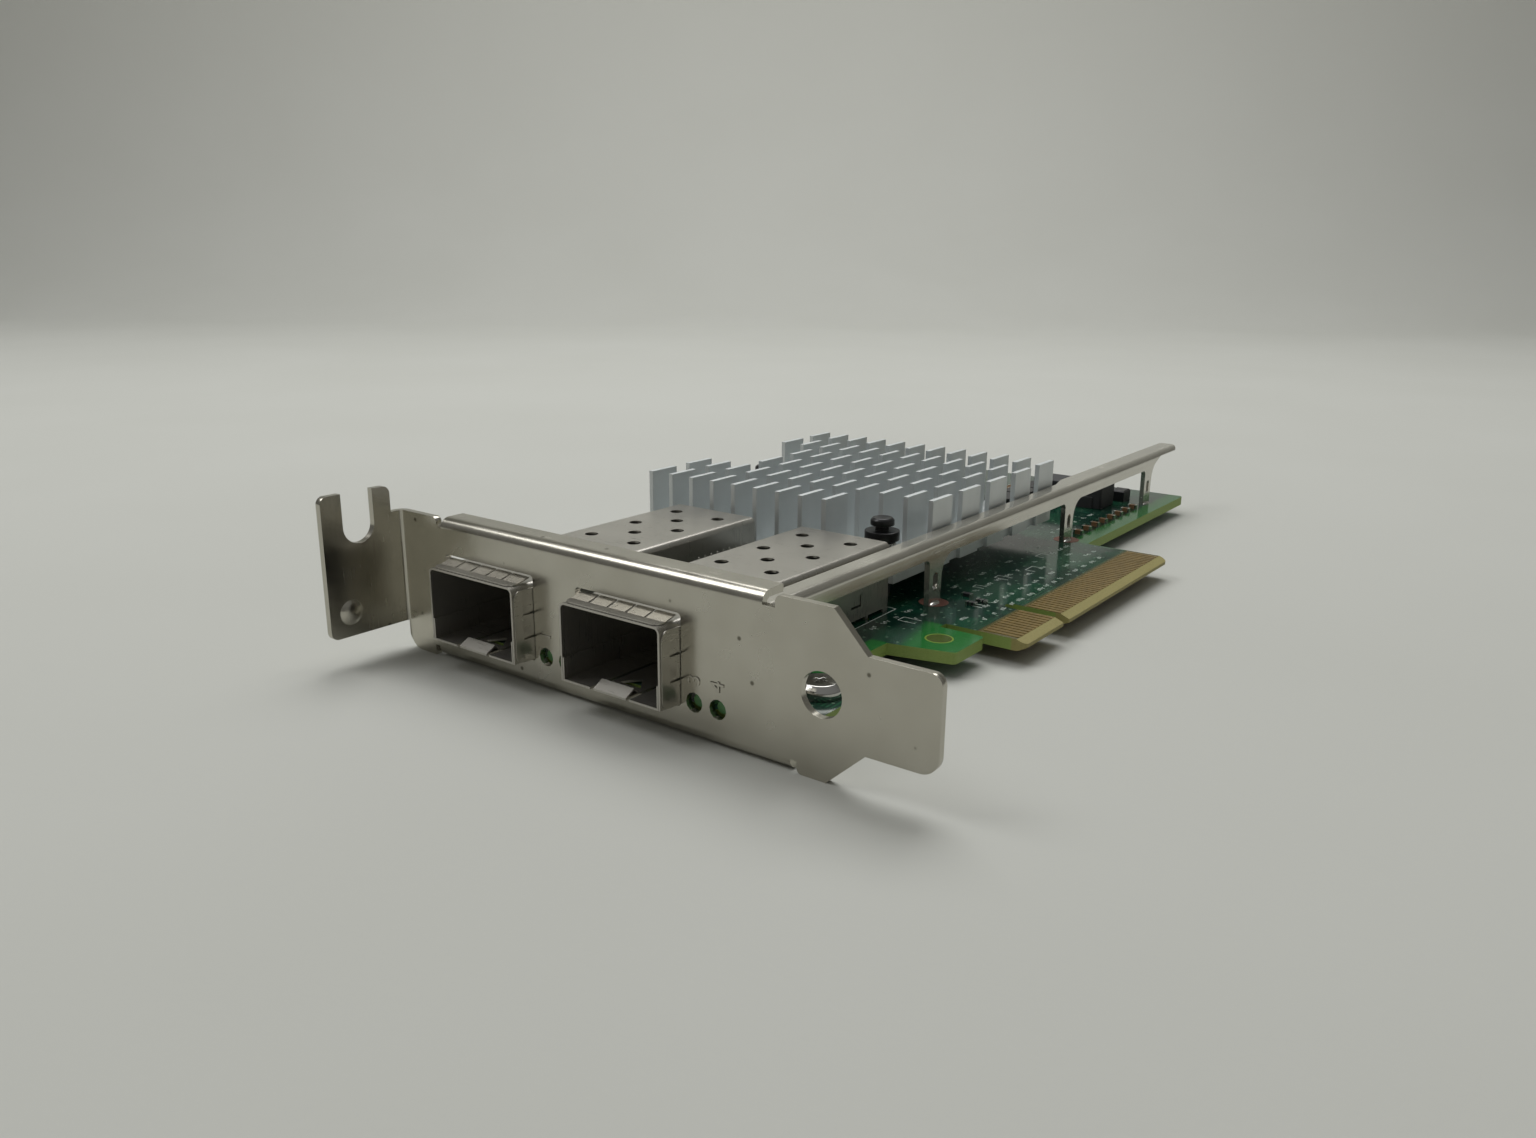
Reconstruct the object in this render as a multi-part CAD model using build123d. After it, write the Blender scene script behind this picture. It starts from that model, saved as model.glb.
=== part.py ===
from build123d import *
import os

# Network interface card: low profile, two ports for plug-in transceivers. All sizes in mm.
# Every piece is modelled from three faces: x from the outer face of the bracket's screw tab,
# y from the outer face of the bracket, z up from the component face of the board.
# On export the card moves to its datum, the key notch of the edge connector at the contact tips.

# Bracket: one folded sheet
SHEET = 0.86
BEND = 0.5                      # inner radius of the folds
BRACKET_WIDTH = 18.42
BRACKET_DROP = 3.5              # lower edge, below the component face
TONGUE_LENGTH = 8.0
TONGUE_WIDTH = 10.19
TONGUE_BEYOND_TIPS = 11.2
TONGUE_TOP_RADIUS = 1.2
TONGUE_LOW_RADIUS = 2.0
TONGUE_TOP_SLOPE = 4.0          # run of the upper slope beside the tongue
TONGUE_LOW_SLOPE = 4.5
BODY_CORNER = 2.0
BODY_CORNER_START = 0.14        # plain strip between the tab's bend and the rounded corner
TAB_DEPTH = 11.43
TAB_LIFT = 3.7                  # lower edge of the tab, above the bracket's lower edge
TAB_RISE = 3.4                  # tips of the tab, above the bracket's upper edge
TAB_SHOULDER = 1.6
TAB_CORNER = 1.0
NOTCH_WIDTH = 4.42
NOTCH_CENTRE = 6.35             # in front of the bracket's face
NOTCH_DEPTH = 6.5
DIMPLE_RADIUS = 1.6
DIMPLE_HEIGHT = 0.5
DIMPLE_IN_FRONT = 8.4
DIMPLE_ABOVE_EDGE = 3.1
TOP_FLANGE_DEPTH = 3.6
TOP_FLANGE_START = 8.5
TOP_FLAT = 7.0                  # straight edge between the flange's slit and the slope
LOW_FLANGE_DEPTH = 3.0
LOW_FLANGE_START = 6.8
LOW_FLAT = 3.6
RELIEF = 0.8                    # slit between a flange and the flat sheet beside it
TOP_RELIEF_FAR = 1.6
RELIEF_CORNER = 0.7
FINGER_HOLE_RADIUS = 2.45
FINGER_HOLE_FROM_TONGUE = 5.27  # hole centre, short of the tongue's root
LAMP_HOLE_RADIUS = 1.1
HOLE_SIDES = 12                 # small holes are drawn with flats, to keep the card light

# Screws between the bracket's ears and the board
SCREW_BEHIND = 12.3
SCREW_EDGE = 4.0                # screw axis in from the end of the board's front lug
EAR_WIDTH = 8.0
EAR_BEYOND = 4.0
EAR_SLOPE = 2.4
SCREW_RADIUS = 1.25
SCREW_CLEARANCE = 0.05
SCREW_HEAD_RADIUS = 2.8
SCREW_HEAD_HEIGHT = 1.6
SCREW_HEAD_BEVEL = 0.7
SCREW_SOCKET = 1.6
BOARD_SCREW_HOLE = 1.6

# Cages and their connectors
PORT_1 = 17.05                  # centre of the first port from the tab's outer face
PORT_PITCH = 22.85
CAGE_WIDTH = 15.0
CAGE_TOP = 9.5
CAGE_SHEET = 0.25
CAGE_NOSE = 2.95                # in front of the bracket's face
CAGE_LENGTH = 46.0
CAGE_ROUND = 0.8
CAGE_LIFT = 0.15
FLOOR_FIT = 0.05
FLOOR_SIDE = 2.8
FLOOR_TO_HOUSING = 1.15
LATCH_WIDTH = 4.9
LATCH_LENGTH = 11.0
LATCH_SLIT = 0.5
LATCH_RISE = 0.75
LATCH_RUN = 1.4                 # slope of the lip that a module rides over
CATCH_BEHIND = 3.2              # three-cornered catch hole, behind the cage's nose
CATCH_WIDTH = 3.4
CATCH_LENGTH = 2.2
VENT_RADIUS = 0.9
VENT_SPREAD = 3.93
VENT_START = 21.4
VENT_STEP = 4.38
WINDOW_LENGTH = 2.3             # lanced tab in a cage's side, cut free below and behind
WINDOW_HEIGHT = 1.6
WINDOW_LOW = 2.2
WINDOW_BEHIND = 34.0
WINDOW_SLIT = 0.3
CAGE_PIN_WIDTH = 0.6
CAGE_PIN_BELOW = 0.7            # below the board
CAGE_PIN_HOLE = 0.45
CAGE_PIN_BEHIND_EAR = 1.75      # first pins, clear of the bracket's ears
CAGE_PINS_FROM_REAR = (16.0, 5.2)
CAGE_RELIEF_LENGTH = 8.0        # lower edge cut back round the last pin
CAGE_RELIEF_HEIGHT = 0.5
CUTOUT_SIDE = 0.4               # play of the cage in its cut-out
CUTOUT_ABOVE = 0.95
CUTOUT_BELOW = 0.1
CUTOUT_ROUND = 0.5
COLLAR_SHEET = 0.15
COLLAR_START = 2.75             # in front of the bracket's face
COLLAR_BAND = 1.25
COLLAR_END = 0.25               # free ends of the spring fingers, behind the bracket's face
COLLAR_FIT = 0.03
COLLAR_SLIT = 0.3
COLLAR_SHORT = 0.5              # strip ends, short of the cage's outer corners
COLLAR_ROUND = 1.0
TOP_FINGER_PLAY = 0.33          # under the upper edge of the cut-out
SIDE_FINGER_PLAY = 0.06
TOP_FINGERS = 5
SIDE_FINGERS = 3
HOUSING_WIDTH = 11.8
HOUSING_HEIGHT = 5.9
HOUSING_LENGTH = 8.7
HOUSING_END_GAP = 0.9
HOUSING_SLOT_WIDTH = 9.6
HOUSING_SLOT_HEIGHT = 1.9
HOUSING_SLOT_CENTRE = 3.35
HOUSING_SLOT_DEPTH = 6.4
PIN_ROW = 10
PIN_PITCH = 0.8
PIN_WIDTH = 0.26
PIN_SHEET = 0.18
PIN_PLAY = 0.06

# Status lamps behind the four small holes
LAMP_OFFSET = 9.7               # first lamp from its port's centre
LAMP_PITCH = 3.25
LAMP_HEIGHT = 0.8
LAMP_BODY = 1.6
LAMP_LENS = 0.7

# Stiffener rail
CAGE_TO_RAIL = 0.8
RAIL_WIDTH = 2.8
RAIL_SHEET = 0.8
RAIL_BEND = 0.3
RAIL_TOP = 9.2
RAIL_WEB = 2.55
RAIL_START = 2.2
RAIL_END_BEYOND = 5.4           # past the rear edge of the board
RAIL_WEB_END = 5.0              # web stops short of the rear edge of the board
RAIL_JOG = 1.0
RAIL_JOG_LENGTH = 4.0
RAIL_END_ROUND = 2.4
LEG_FROM_KEY = (-5.75, 39.65, 76.8)
LEG_TOP = 1.8                   # half widths of a leg
LEG_FOOT = 1.6
LEG_TENON = 1.1
LEG_FRONT_CURVE = 0.9           # where the web meets the leg's front and rear sides
LEG_REAR_CURVE = 3.2
TENON_BELOW = 0.8
TENON_PLAY = 0.2
EYE_WIDTH = 1.3
EYE_HEIGHT = 2.6
EYE_CENTRE = 3.2

# Board
BOARD = 1.57
BOARD_GAP = 0.74                # from the back of the bracket's sheet
BOARD_SIDE = 1.3                # from the tab's outer face
BOARD_LENGTH = 141.6
RAIL_TO_EDGE = 3.5
CONTACT_REACH = 13.5            # contact tips beyond the board's long edge
FACE_TO_KEY = 55.4
KEY_WIDTH = 1.9
KEY_DEPTH = 9.0
SHORT_ROW = 11.65
LONG_ROW = 38.65
TIP_BEVEL = 1.3
TIP_NOSE = 0.5
TIP_CORNER = 1.0
LUG_REACH = 7.0
LUG_END = 17.0
EAR_REACH = 8.6
EAR_LENGTH = 9.85
EAR_RAMP = 2.05
EAR_GAP = 1.6
EAR_ROOT = 2.1
BOARD_CORNER = 0.8

# Edge contacts
CONTACT_PITCH = 1.0
CONTACT_WIDTH = 0.7
CONTACT_THICK = 0.05
CONTACT_LENGTH = 5.0
SHORT_CONTACTS = 11
LONG_CONTACTS = 38
FIRST_FROM_KEY = 1.5

# Heatsink on its chip
CHIP_SIDE = 25.0
CHIP_LID = 19.0
CHIP_CARRIER = 0.9
CHIP_HEIGHT = 2.95
PAD_THICK = 0.3
SINK_BASE = 1.5
SINK_INSET = 0.6                # base sides, in from the outer faces of the last fins
FIN_HEIGHT = 8.65
FIN_THICK = 0.8
FIN_COLUMNS = 12
FIN_ROWS = 6
FIN_FROM_SIDE = 0.9             # first fin, in from the board's far side
ROW_SPAN = 49.4
ROW_GAP = 3.1
SINK_MARGIN = 0.45
SINK_TO_RAIL = 0.32
SINK_BEHIND_CAGE = 1.5

# Push pins that hold the heatsink
PUSH_IN = 5.3                   # first pin from the outer face of the last fin
PUSH_BACK = 4.0
PUSH_SHAFT = 1.4
PUSH_HOLE = 1.6
PUSH_COLLAR = 2.48
PUSH_COLLAR_UNDER = 8.0
PUSH_COLLAR_THICK = 1.35
PUSH_NECK = 1.0
PUSH_NECK_HEIGHT = 0.75
PUSH_CAP = 1.7
PUSH_CAP_THICK = 1.1
PUSH_BEVEL = 0.35
PUSH_BARB = 1.8
PUSH_BARB_LENGTH = 1.4
PUSH_SPLIT = 0.7
PUSH_PLAY = 0.08
SPRING_RADIUS = 2.1
SPRING_WIRE = 0.25              # radius of the wire
SPRING_TURNS = 3
SPRING_RUNS = 10                # short straight runs in each turn
SPRING_SIDES = 6
SPRING_SEAT = 0.05

# Small parts on the board
CASE_BEVEL = 0.25
PART_GAP = 0.6                  # least space between neighbours in a row
INDUCTOR_SIDE = 6.6
INDUCTOR_HEIGHT = 4.4
INDUCTOR_CLIP = 0.25
INDUCTOR_FROM_RAIL = 1.8        # outer side, in from the rail's inner edge
INDUCTOR_FROM_REAR = 15.7       # rear side, in from the board's rear edge
REGULATOR_WIDTH = 5.0
REGULATOR_LENGTH = 6.0
REGULATOR_HEIGHT = 1.0
REGULATOR_COUNT = 3
MEMORY_SIDE = 5.2
MEMORY_HEIGHT = 1.7
MEMORY_LEADS = 4                # a side
MEMORY_LEAD = 0.2
MEMORY_LEAD_PITCH = 1.27
MEMORY_FOOT = 0.8
MEMORY_PLACE = (14.0, 14.0)     # from the board's far side, and behind the last fins
CRYSTAL_WIDTH = 3.2
CRYSTAL_LENGTH = 2.5
CRYSTAL_BASE = 0.6
CRYSTAL_LID = 0.2
CRYSTAL_PLACE = (20.4, 10.0)    # from the board's far side, and behind the last fins
TANTALUM_WIDTH = 2.8
TANTALUM_LENGTH = 3.5
TANTALUM_HEIGHT = 2.1
TANTALUM_COUNT = 3
TANTALUM_FROM_REAR = 9.3        # rear side, in from the board's rear edge
CERAMIC_LENGTH = 1.6
CERAMIC_WIDTH = 0.8
CERAMIC_HEIGHT = 0.75
CERAMIC_ROW = 8                 # line of capacitors under the rail
CERAMIC_PITCH = 3.65
CERAMIC_BEHIND_LEG = 5.6
CERAMIC_BLOCK = 6
RESISTOR_LENGTH = 1.6
RESISTOR_WIDTH = 0.8
RESISTOR_HEIGHT = 0.45
RESISTOR_BLOCK = 6
RESISTORS_BY_LEG = ((4.3, 2.75), (4.9, 4.65), (1.9, 6.1))   # beyond the rail, behind the first leg

# Places worked out from the sizes above
PORTS = (PORT_1, PORT_1 + PORT_PITCH)
RAIL_INNER = PORTS[1] + CAGE_WIDTH / 2 + CAGE_TO_RAIL
RAIL_OUTER = RAIL_INNER + RAIL_WIDTH
EDGE = RAIL_OUTER + RAIL_TO_EDGE
TIP = EDGE + CONTACT_REACH
TONGUE_END = TIP + TONGUE_BEYOND_TIPS
TONGUE_ROOT = TONGUE_END - TONGUE_LENGTH
FRONT = SHEET + BOARD_GAP
REAR = FRONT + BOARD_LENGTH
KEY = FACE_TO_KEY
ROW_FRONT = KEY - KEY_WIDTH / 2 - SHORT_ROW
ROW_REAR = KEY + KEY_WIDTH / 2 + LONG_ROW
LOW = -BRACKET_DROP
TOP = LOW + BRACKET_WIDTH
MIDDLE = (LOW + TOP) / 2
TAB_LOW = LOW + TAB_LIFT
TAB_TOP = TOP + TAB_RISE
FOLD = SHEET + BEND
TOP_FLANGE_END = TONGUE_ROOT - TONGUE_TOP_SLOPE - TOP_FLAT - TOP_RELIEF_FAR
LOW_FLANGE_END = TONGUE_ROOT - TONGUE_LOW_SLOPE - LOW_FLAT - RELIEF
CAGE_REAR = CAGE_LENGTH - CAGE_NOSE
CAGE_PINS = [SCREW_BEHIND + EAR_BEYOND + CAGE_PIN_BEHIND_EAR]
CAGE_PINS += [CAGE_REAR - distance for distance in CAGE_PINS_FROM_REAR]
HOUSING_BACK = CAGE_REAR - CAGE_SHEET - HOUSING_END_GAP
HOUSING_START = HOUSING_BACK - HOUSING_LENGTH
SCREWS = ((PORTS[0] + PORTS[1]) / 2, EDGE + LUG_REACH - SCREW_EDGE)
FIN_END = RAIL_INNER - SINK_TO_RAIL
FIN_START = BOARD_SIDE + FIN_FROM_SIDE
ROW_START = CAGE_REAR + SINK_BEHIND_CAGE + SINK_MARGIN
ROW_END = ROW_START + ROW_SPAN
FIN_STEP = (FIN_END - FIN_START - FIN_THICK) / (FIN_COLUMNS - 1)
ROW_STEP = (ROW_SPAN + ROW_GAP) / FIN_ROWS
SINK_LOW = CHIP_HEIGHT + PAD_THICK
FIN_LOW = SINK_LOW + SINK_BASE
FIN_TOP = FIN_LOW + FIN_HEIGHT
SINK_CENTRE = ((FIN_START + FIN_END) / 2, (ROW_START + ROW_END) / 2)
PUSH_PINS = (
    (FIN_END - PUSH_IN, ROW_START + PUSH_BACK),
    (FIN_START + FIN_STEP, SINK_CENTRE[1]),
)
LEGS = [KEY + distance for distance in LEG_FROM_KEY]
INDUCTORS = (
    RAIL_INNER - INDUCTOR_FROM_RAIL - INDUCTOR_SIDE / 2,
    REAR - INDUCTOR_FROM_REAR - INDUCTOR_SIDE / 2,
)
INDUCTOR_PITCH = INDUCTOR_SIDE + PART_GAP
DATUM = Pos(-TIP, -KEY, 0)


def outline(*points):
    """Closed face with straight sides."""
    return make_face(Polyline(*points, close=True))


def rounded(face, corners, radius):
    """The face with the named corners rounded."""
    chosen = []
    for corner in corners:
        chosen.append(face.vertices().sort_by_distance(corner)[0])
    return fillet(chosen, radius)


def box(x, y, z):
    """Block between pairs of limits."""
    centre = [(low + high) / 2 for low, high in (x, y, z)]
    size = [high - low for low, high in (x, y, z)]
    return Pos(*centre) * Box(*size)


def small_hole(radius, sides=HOLE_SIDES):
    """Outline of a small hole, its flats laid round a circle of the named radius."""
    return RegularPolygon(radius, sides, major_radius=False)


def raised(face, low, high):
    """(x, y) outline extruded from low to high."""
    return extrude(Plane.XY.offset(low) * face, high - low, dir=(0, 0, 1))


def deepened(face, front, back):
    """(x, z) outline extruded from front to back."""
    return extrude(Plane.XZ.offset(-front) * face, back - front, dir=(0, 1, 0))


def widened(face, left, right):
    """(y, z) outline extruded from left to right."""
    return extrude(Plane.YZ.offset(left) * face, right - left, dir=(1, 0, 0))


def bracket_face():
    """(x, z) outline of the flat sheet, with the tab's strip and the slits beside the flanges."""
    strip = SHEET + BODY_CORNER_START
    clear = 2 * TAB_RISE
    top_end = TOP_FLANGE_END + TOP_RELIEF_FAR
    low_end = LOW_FLANGE_END + RELIEF
    tongue_high = MIDDLE + TONGUE_WIDTH / 2
    tongue_low = MIDDLE - TONGUE_WIDTH / 2
    face = outline(
        (-1, TAB_LOW), (-1, TOP + clear), (strip, TOP + clear), (strip, TOP),
        (TOP_FLANGE_START - RELIEF, TOP), (TOP_FLANGE_START - RELIEF, TOP - FOLD),
        (top_end, TOP - FOLD), (top_end, TOP), (TONGUE_ROOT - TONGUE_TOP_SLOPE, TOP),
        (TONGUE_ROOT, tongue_high), (TONGUE_END, tongue_high), (TONGUE_END, tongue_low),
        (TONGUE_ROOT, tongue_low), (TONGUE_ROOT - TONGUE_LOW_SLOPE, LOW), (low_end, LOW),
        (low_end, LOW + FOLD), (LOW_FLANGE_START - RELIEF, LOW + FOLD),
        (LOW_FLANGE_START - RELIEF, LOW), (strip, LOW), (strip, TAB_LOW))
    face = rounded(face, [(TONGUE_END, tongue_high)], TONGUE_TOP_RADIUS)
    face = rounded(face, [(TONGUE_END, tongue_low)], TONGUE_LOW_RADIUS)
    face = rounded(face, [(strip, LOW)], BODY_CORNER)
    face = rounded(face, [(TOP_FLANGE_START - RELIEF, TOP), (low_end, LOW), (top_end, TOP)], RELIEF_CORNER)
    return face


def tab_side():
    """(y, z) outline of the screw tab with its open notch."""
    side = outline(
        (-TAB_DEPTH, TAB_LOW), (-TAB_DEPTH, TAB_TOP), (-TAB_SHOULDER, TAB_TOP),
        (-TAB_SHOULDER, TOP), (FOLD, TOP), (FOLD, LOW - 1), (-FOLD, LOW - 1), (-FOLD, TAB_LOW))
    side = rounded(side, [(-TAB_DEPTH, TAB_LOW), (-TAB_DEPTH, TAB_TOP), (-TAB_SHOULDER, TAB_TOP)], TAB_CORNER)
    notch_end = TAB_TOP - NOTCH_DEPTH + NOTCH_WIDTH / 2
    side -= Pos(-NOTCH_CENTRE, notch_end) * Circle(NOTCH_WIDTH / 2)
    side -= Pos(-NOTCH_CENTRE, notch_end + NOTCH_DEPTH / 2) * Rectangle(NOTCH_WIDTH, NOTCH_DEPTH)
    return side


def port_cutout(centre):
    """(x, z) outline of the opening that a cage passes through."""
    half = CAGE_WIDTH / 2 + CUTOUT_SIDE
    height = CAGE_TOP + CUTOUT_ABOVE + CUTOUT_BELOW
    middle = (CAGE_TOP + CUTOUT_ABOVE - CUTOUT_BELOW) / 2
    return Pos(centre, middle) * RectangleRounded(2 * half, height, CUTOUT_ROUND)


def folded_flange(depth, edge, inward):
    """(y, z) outline of a flange bent back from the sheet, at the edge's height."""
    root = edge + inward * (FOLD + SHEET)
    under = edge + inward * SHEET
    side = outline((0, root), (0, edge), (depth, edge), (depth, under), (SHEET, under), (SHEET, root))
    side = rounded(side, [(0, edge)], FOLD)
    return rounded(side, [(SHEET, under)], BEND)


def board_ear(centre):
    """Ear that steps up from the lower flange to the underside of the board."""
    seat = -BOARD
    ramp = LOW_FLANGE_DEPTH + EAR_SLOPE
    end = SCREW_BEHIND + EAR_BEYOND
    side = outline(
        (LOW_FLANGE_DEPTH - SHEET, LOW), (LOW_FLANGE_DEPTH, LOW), (ramp, seat - SHEET),
        (end, seat - SHEET), (end, seat), (ramp - SHEET / 2, seat),
        (LOW_FLANGE_DEPTH - SHEET / 2, LOW + SHEET), (LOW_FLANGE_DEPTH - SHEET, LOW + SHEET))
    ear = widened(side, centre - EAR_WIDTH / 2, centre + EAR_WIDTH / 2)
    tip_edges = ear.edges().filter_by(Axis.Z).group_by(Axis.Y)[-1]
    ear = chamfer(tip_edges, EAR_WIDTH / 4)
    hole = Pos(centre, SCREW_BEHIND) * small_hole(SCREW_RADIUS + SCREW_CLEARANCE)
    return ear - raised(hole, LOW, 0)


def bracket():
    """Folded sheet: tab, face, two flanges, two ears, tongue."""
    fold = outline(
        (0, -TAB_DEPTH - 1), (0, SHEET), (TONGUE_END + 1, SHEET), (TONGUE_END + 1, 0),
        (SHEET, 0), (SHEET, -TAB_DEPTH - 1))
    fold = rounded(fold, [(0, SHEET)], FOLD)
    fold = rounded(fold, [(SHEET, 0)], BEND)
    sheet = raised(fold, LOW - 1, TAB_TOP + 1)
    sheet &= deepened(bracket_face(), -TAB_DEPTH - 2, 2 * FOLD)
    sheet &= widened(tab_side(), -1, TONGUE_END + 2)
    top_side = folded_flange(TOP_FLANGE_DEPTH, TOP, -1)
    sheet += widened(top_side, TOP_FLANGE_START, TOP_FLANGE_END)
    low_side = folded_flange(LOW_FLANGE_DEPTH, LOW, 1)
    sheet += widened(low_side, LOW_FLANGE_START, LOW_FLANGE_END)
    for centre in SCREWS:
        sheet += board_ear(centre)
    for centre in PORTS:
        sheet -= deepened(port_cutout(centre), -FOLD, FOLD)
        for number in range(2):
            lamp = centre + LAMP_OFFSET + number * LAMP_PITCH
            sheet -= deepened(Pos(lamp, LAMP_HEIGHT) * small_hole(LAMP_HOLE_RADIUS), -FOLD, FOLD)
    hole = Pos(TONGUE_ROOT - FINGER_HOLE_FROM_TONGUE, MIDDLE) * Circle(FINGER_HOLE_RADIUS)
    sheet -= deepened(hole, -FOLD, FOLD)
    return tab_dimple(sheet)


def tab_dimple(sheet):
    """Presses the round dimple into the tab, hollow outside and domed inside."""
    sphere = (DIMPLE_RADIUS ** 2 + DIMPLE_HEIGHT ** 2) / (2 * DIMPLE_HEIGHT)
    height = TAB_LOW + DIMPLE_ABOVE_EDGE
    hollow = Pos(DIMPLE_HEIGHT - sphere, -DIMPLE_IN_FRONT, height) * Rot(0, 0, 180) * Sphere(sphere)
    reach = (SHEET / 2, SHEET + sphere)
    across = (-DIMPLE_IN_FRONT - sphere, -DIMPLE_IN_FRONT + sphere)
    room = box(reach, across, (height - sphere, height + sphere))
    dome = (Pos(SHEET, 0, 0) * hollow) & room
    return sheet + dome - hollow


def bracket_screws():
    """Two pan-head screws, driven from the component side into the bracket's ears."""
    shank_length = BOARD + SHEET
    group = []
    for centre in SCREWS:
        head = raised(Circle(SCREW_HEAD_RADIUS), 0, SCREW_HEAD_HEIGHT)
        head = chamfer(head.edges().group_by(Axis.Z)[-1], SCREW_HEAD_BEVEL)
        socket = Rectangle(SCREW_SOCKET, SCREW_SOCKET / 4) + Rectangle(SCREW_SOCKET / 4, SCREW_SOCKET)
        head -= raised(socket, SCREW_HEAD_HEIGHT / 2, SCREW_HEAD_HEIGHT + 1)
        shank = raised(Circle(SCREW_RADIUS), -shank_length, 0)
        group.append(Pos(centre, SCREW_BEHIND, 0) * (head + shank))
    return group


def board_outline():
    """(x, y) outline of the board with its lug, ear and finger tab."""
    ear_end = ROW_FRONT - EAR_GAP
    ear_start = ear_end - EAR_LENGTH
    face = outline(
        (BOARD_SIDE, FRONT), (EDGE + LUG_REACH, FRONT), (EDGE + LUG_REACH, LUG_END),
        (EDGE, LUG_END), (EDGE, ear_start), (EDGE + EAR_REACH, ear_start + EAR_RAMP),
        (EDGE + EAR_REACH, ear_end), (EDGE + EAR_ROOT, ear_end), (EDGE + EAR_ROOT, ROW_FRONT),
        (TIP, ROW_FRONT), (TIP, ROW_REAR), (EDGE, ROW_REAR), (EDGE, REAR), (BOARD_SIDE, REAR))
    face = rounded(face, [(TIP, ROW_FRONT), (TIP, ROW_REAR)], TIP_CORNER)
    corners = [(BOARD_SIDE, FRONT), (EDGE + LUG_REACH, FRONT), (EDGE + LUG_REACH, LUG_END),
               (EDGE + EAR_REACH, ear_start + EAR_RAMP), (EDGE + EAR_REACH, ear_end),
               (EDGE, ROW_REAR), (EDGE, REAR), (BOARD_SIDE, REAR), (EDGE, LUG_END)]
    return rounded(face, corners, BOARD_CORNER)


def circuit_board():
    """Board with bevelled contact edge, key notch, and holes for screws, push pins and rail."""
    board = raised(board_outline(), -BOARD, 0)
    drop = (BOARD - TIP_NOSE) / 2
    past = TIP + TIP_BEVEL
    for face, inward in ((0, -1), (-BOARD, 1)):
        wedge = outline((TIP - TIP_BEVEL, face), (past, face + 2 * inward * drop), (past, face))
        board -= deepened(wedge, ROW_FRONT - 1, ROW_REAR + 1)
    key_end = TIP - KEY_DEPTH + KEY_WIDTH / 2
    key = Pos(key_end, KEY) * Circle(KEY_WIDTH / 2)
    key += Pos((key_end + past) / 2, KEY) * Rectangle(past - key_end, KEY_WIDTH)
    holes = key
    for centre in SCREWS:
        holes += Pos(centre, SCREW_BEHIND) * small_hole(BOARD_SCREW_HOLE)
    for centre in PUSH_PINS:
        holes += Pos(*centre) * small_hole(PUSH_HOLE)
    for centre in LEGS:
        slot = Rectangle(RAIL_SHEET + 2 * TENON_PLAY, 2 * (LEG_TENON + TENON_PLAY))
        holes += Pos(RAIL_OUTER - RAIL_SHEET / 2, centre) * slot
    for centre in PORTS:
        for side in (-1, 1):
            wall = centre + side * (CAGE_WIDTH - CAGE_SHEET) / 2
            for place in CAGE_PINS:
                holes += Pos(wall, place) * small_hole(CAGE_PIN_HOLE, HOLE_SIDES // 2)
    return board - raised(holes, -BOARD - 1, 1)


def edge_contacts():
    """Plated contacts on both faces of the finger tab."""
    rows = []
    for number in range(SHORT_CONTACTS):
        rows.append(KEY - FIRST_FROM_KEY - number * CONTACT_PITCH)
    for number in range(LONG_CONTACTS):
        rows.append(KEY + FIRST_FROM_KEY + number * CONTACT_PITCH)
    end = TIP - TIP_BEVEL
    group = []
    for centre in rows:
        width = (centre - CONTACT_WIDTH / 2, centre + CONTACT_WIDTH / 2)
        for low in (0, -BOARD - CONTACT_THICK):
            group.append(box((end - CONTACT_LENGTH, end), width, (low, low + CONTACT_THICK)))
    return group


def cage_section(half, top, low, radius):
    """(x, z) outline of a cage's outside or inside, with its upper corners rounded."""
    face = outline((-half, low), (-half, top), (half, top), (half, low))
    return rounded(face, [(-half, top), (half, top)], radius)


def cage_cover(centre):
    """Folded cover of a cage: top, two sides and back, with vents, lanced tabs and board pins."""
    half = CAGE_WIDTH / 2
    inner = half - CAGE_SHEET
    cover = deepened(cage_section(half, CAGE_TOP, 0, CAGE_ROUND), -CAGE_NOSE, CAGE_REAR)
    room = cage_section(inner, CAGE_TOP - CAGE_SHEET, -1, CAGE_ROUND - CAGE_SHEET)
    cover -= deepened(room, -CAGE_NOSE - 1, CAGE_REAR - CAGE_SHEET)
    cover -= box((-half - 1, half + 1), (-CAGE_NOSE - 1, FRONT), (-1, CAGE_LIFT))
    pattern = ((-1, (0, 2, 4)), (0, (1, 3)), (1, (0, 2, 4)))
    for side, steps in pattern:
        for step in steps:
            place = Pos(side * VENT_SPREAD, VENT_START + step * VENT_STEP)
            cover -= raised(place * small_hole(VENT_RADIUS), CAGE_TOP - 1, CAGE_TOP + 1)
    window_end = WINDOW_BEHIND + WINDOW_LENGTH
    relief = (CAGE_PINS[-1] - CAGE_RELIEF_LENGTH / 2, CAGE_PINS[-1] + CAGE_RELIEF_LENGTH / 2)
    for side in (-1, 1):
        past = sorted((side * (inner - 1), side * (half + 1)))
        cover -= box(past, (WINDOW_BEHIND, window_end), (WINDOW_LOW, WINDOW_LOW + WINDOW_SLIT))
        slit = (window_end - WINDOW_SLIT, window_end)
        cover -= box(past, slit, (WINDOW_LOW, WINDOW_LOW + WINDOW_HEIGHT))
        cover -= box(past, relief, (-1, CAGE_RELIEF_HEIGHT))
        wall = sorted((side * inner, side * half))
        for place in CAGE_PINS:
            pin = (place - CAGE_PIN_WIDTH / 2, place + CAGE_PIN_WIDTH / 2)
            cover += box(wall, pin, (-BOARD - CAGE_PIN_BELOW, CAGE_RELIEF_HEIGHT + CAGE_SHEET))
    return Pos(centre, 0, 0) * cover


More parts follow.
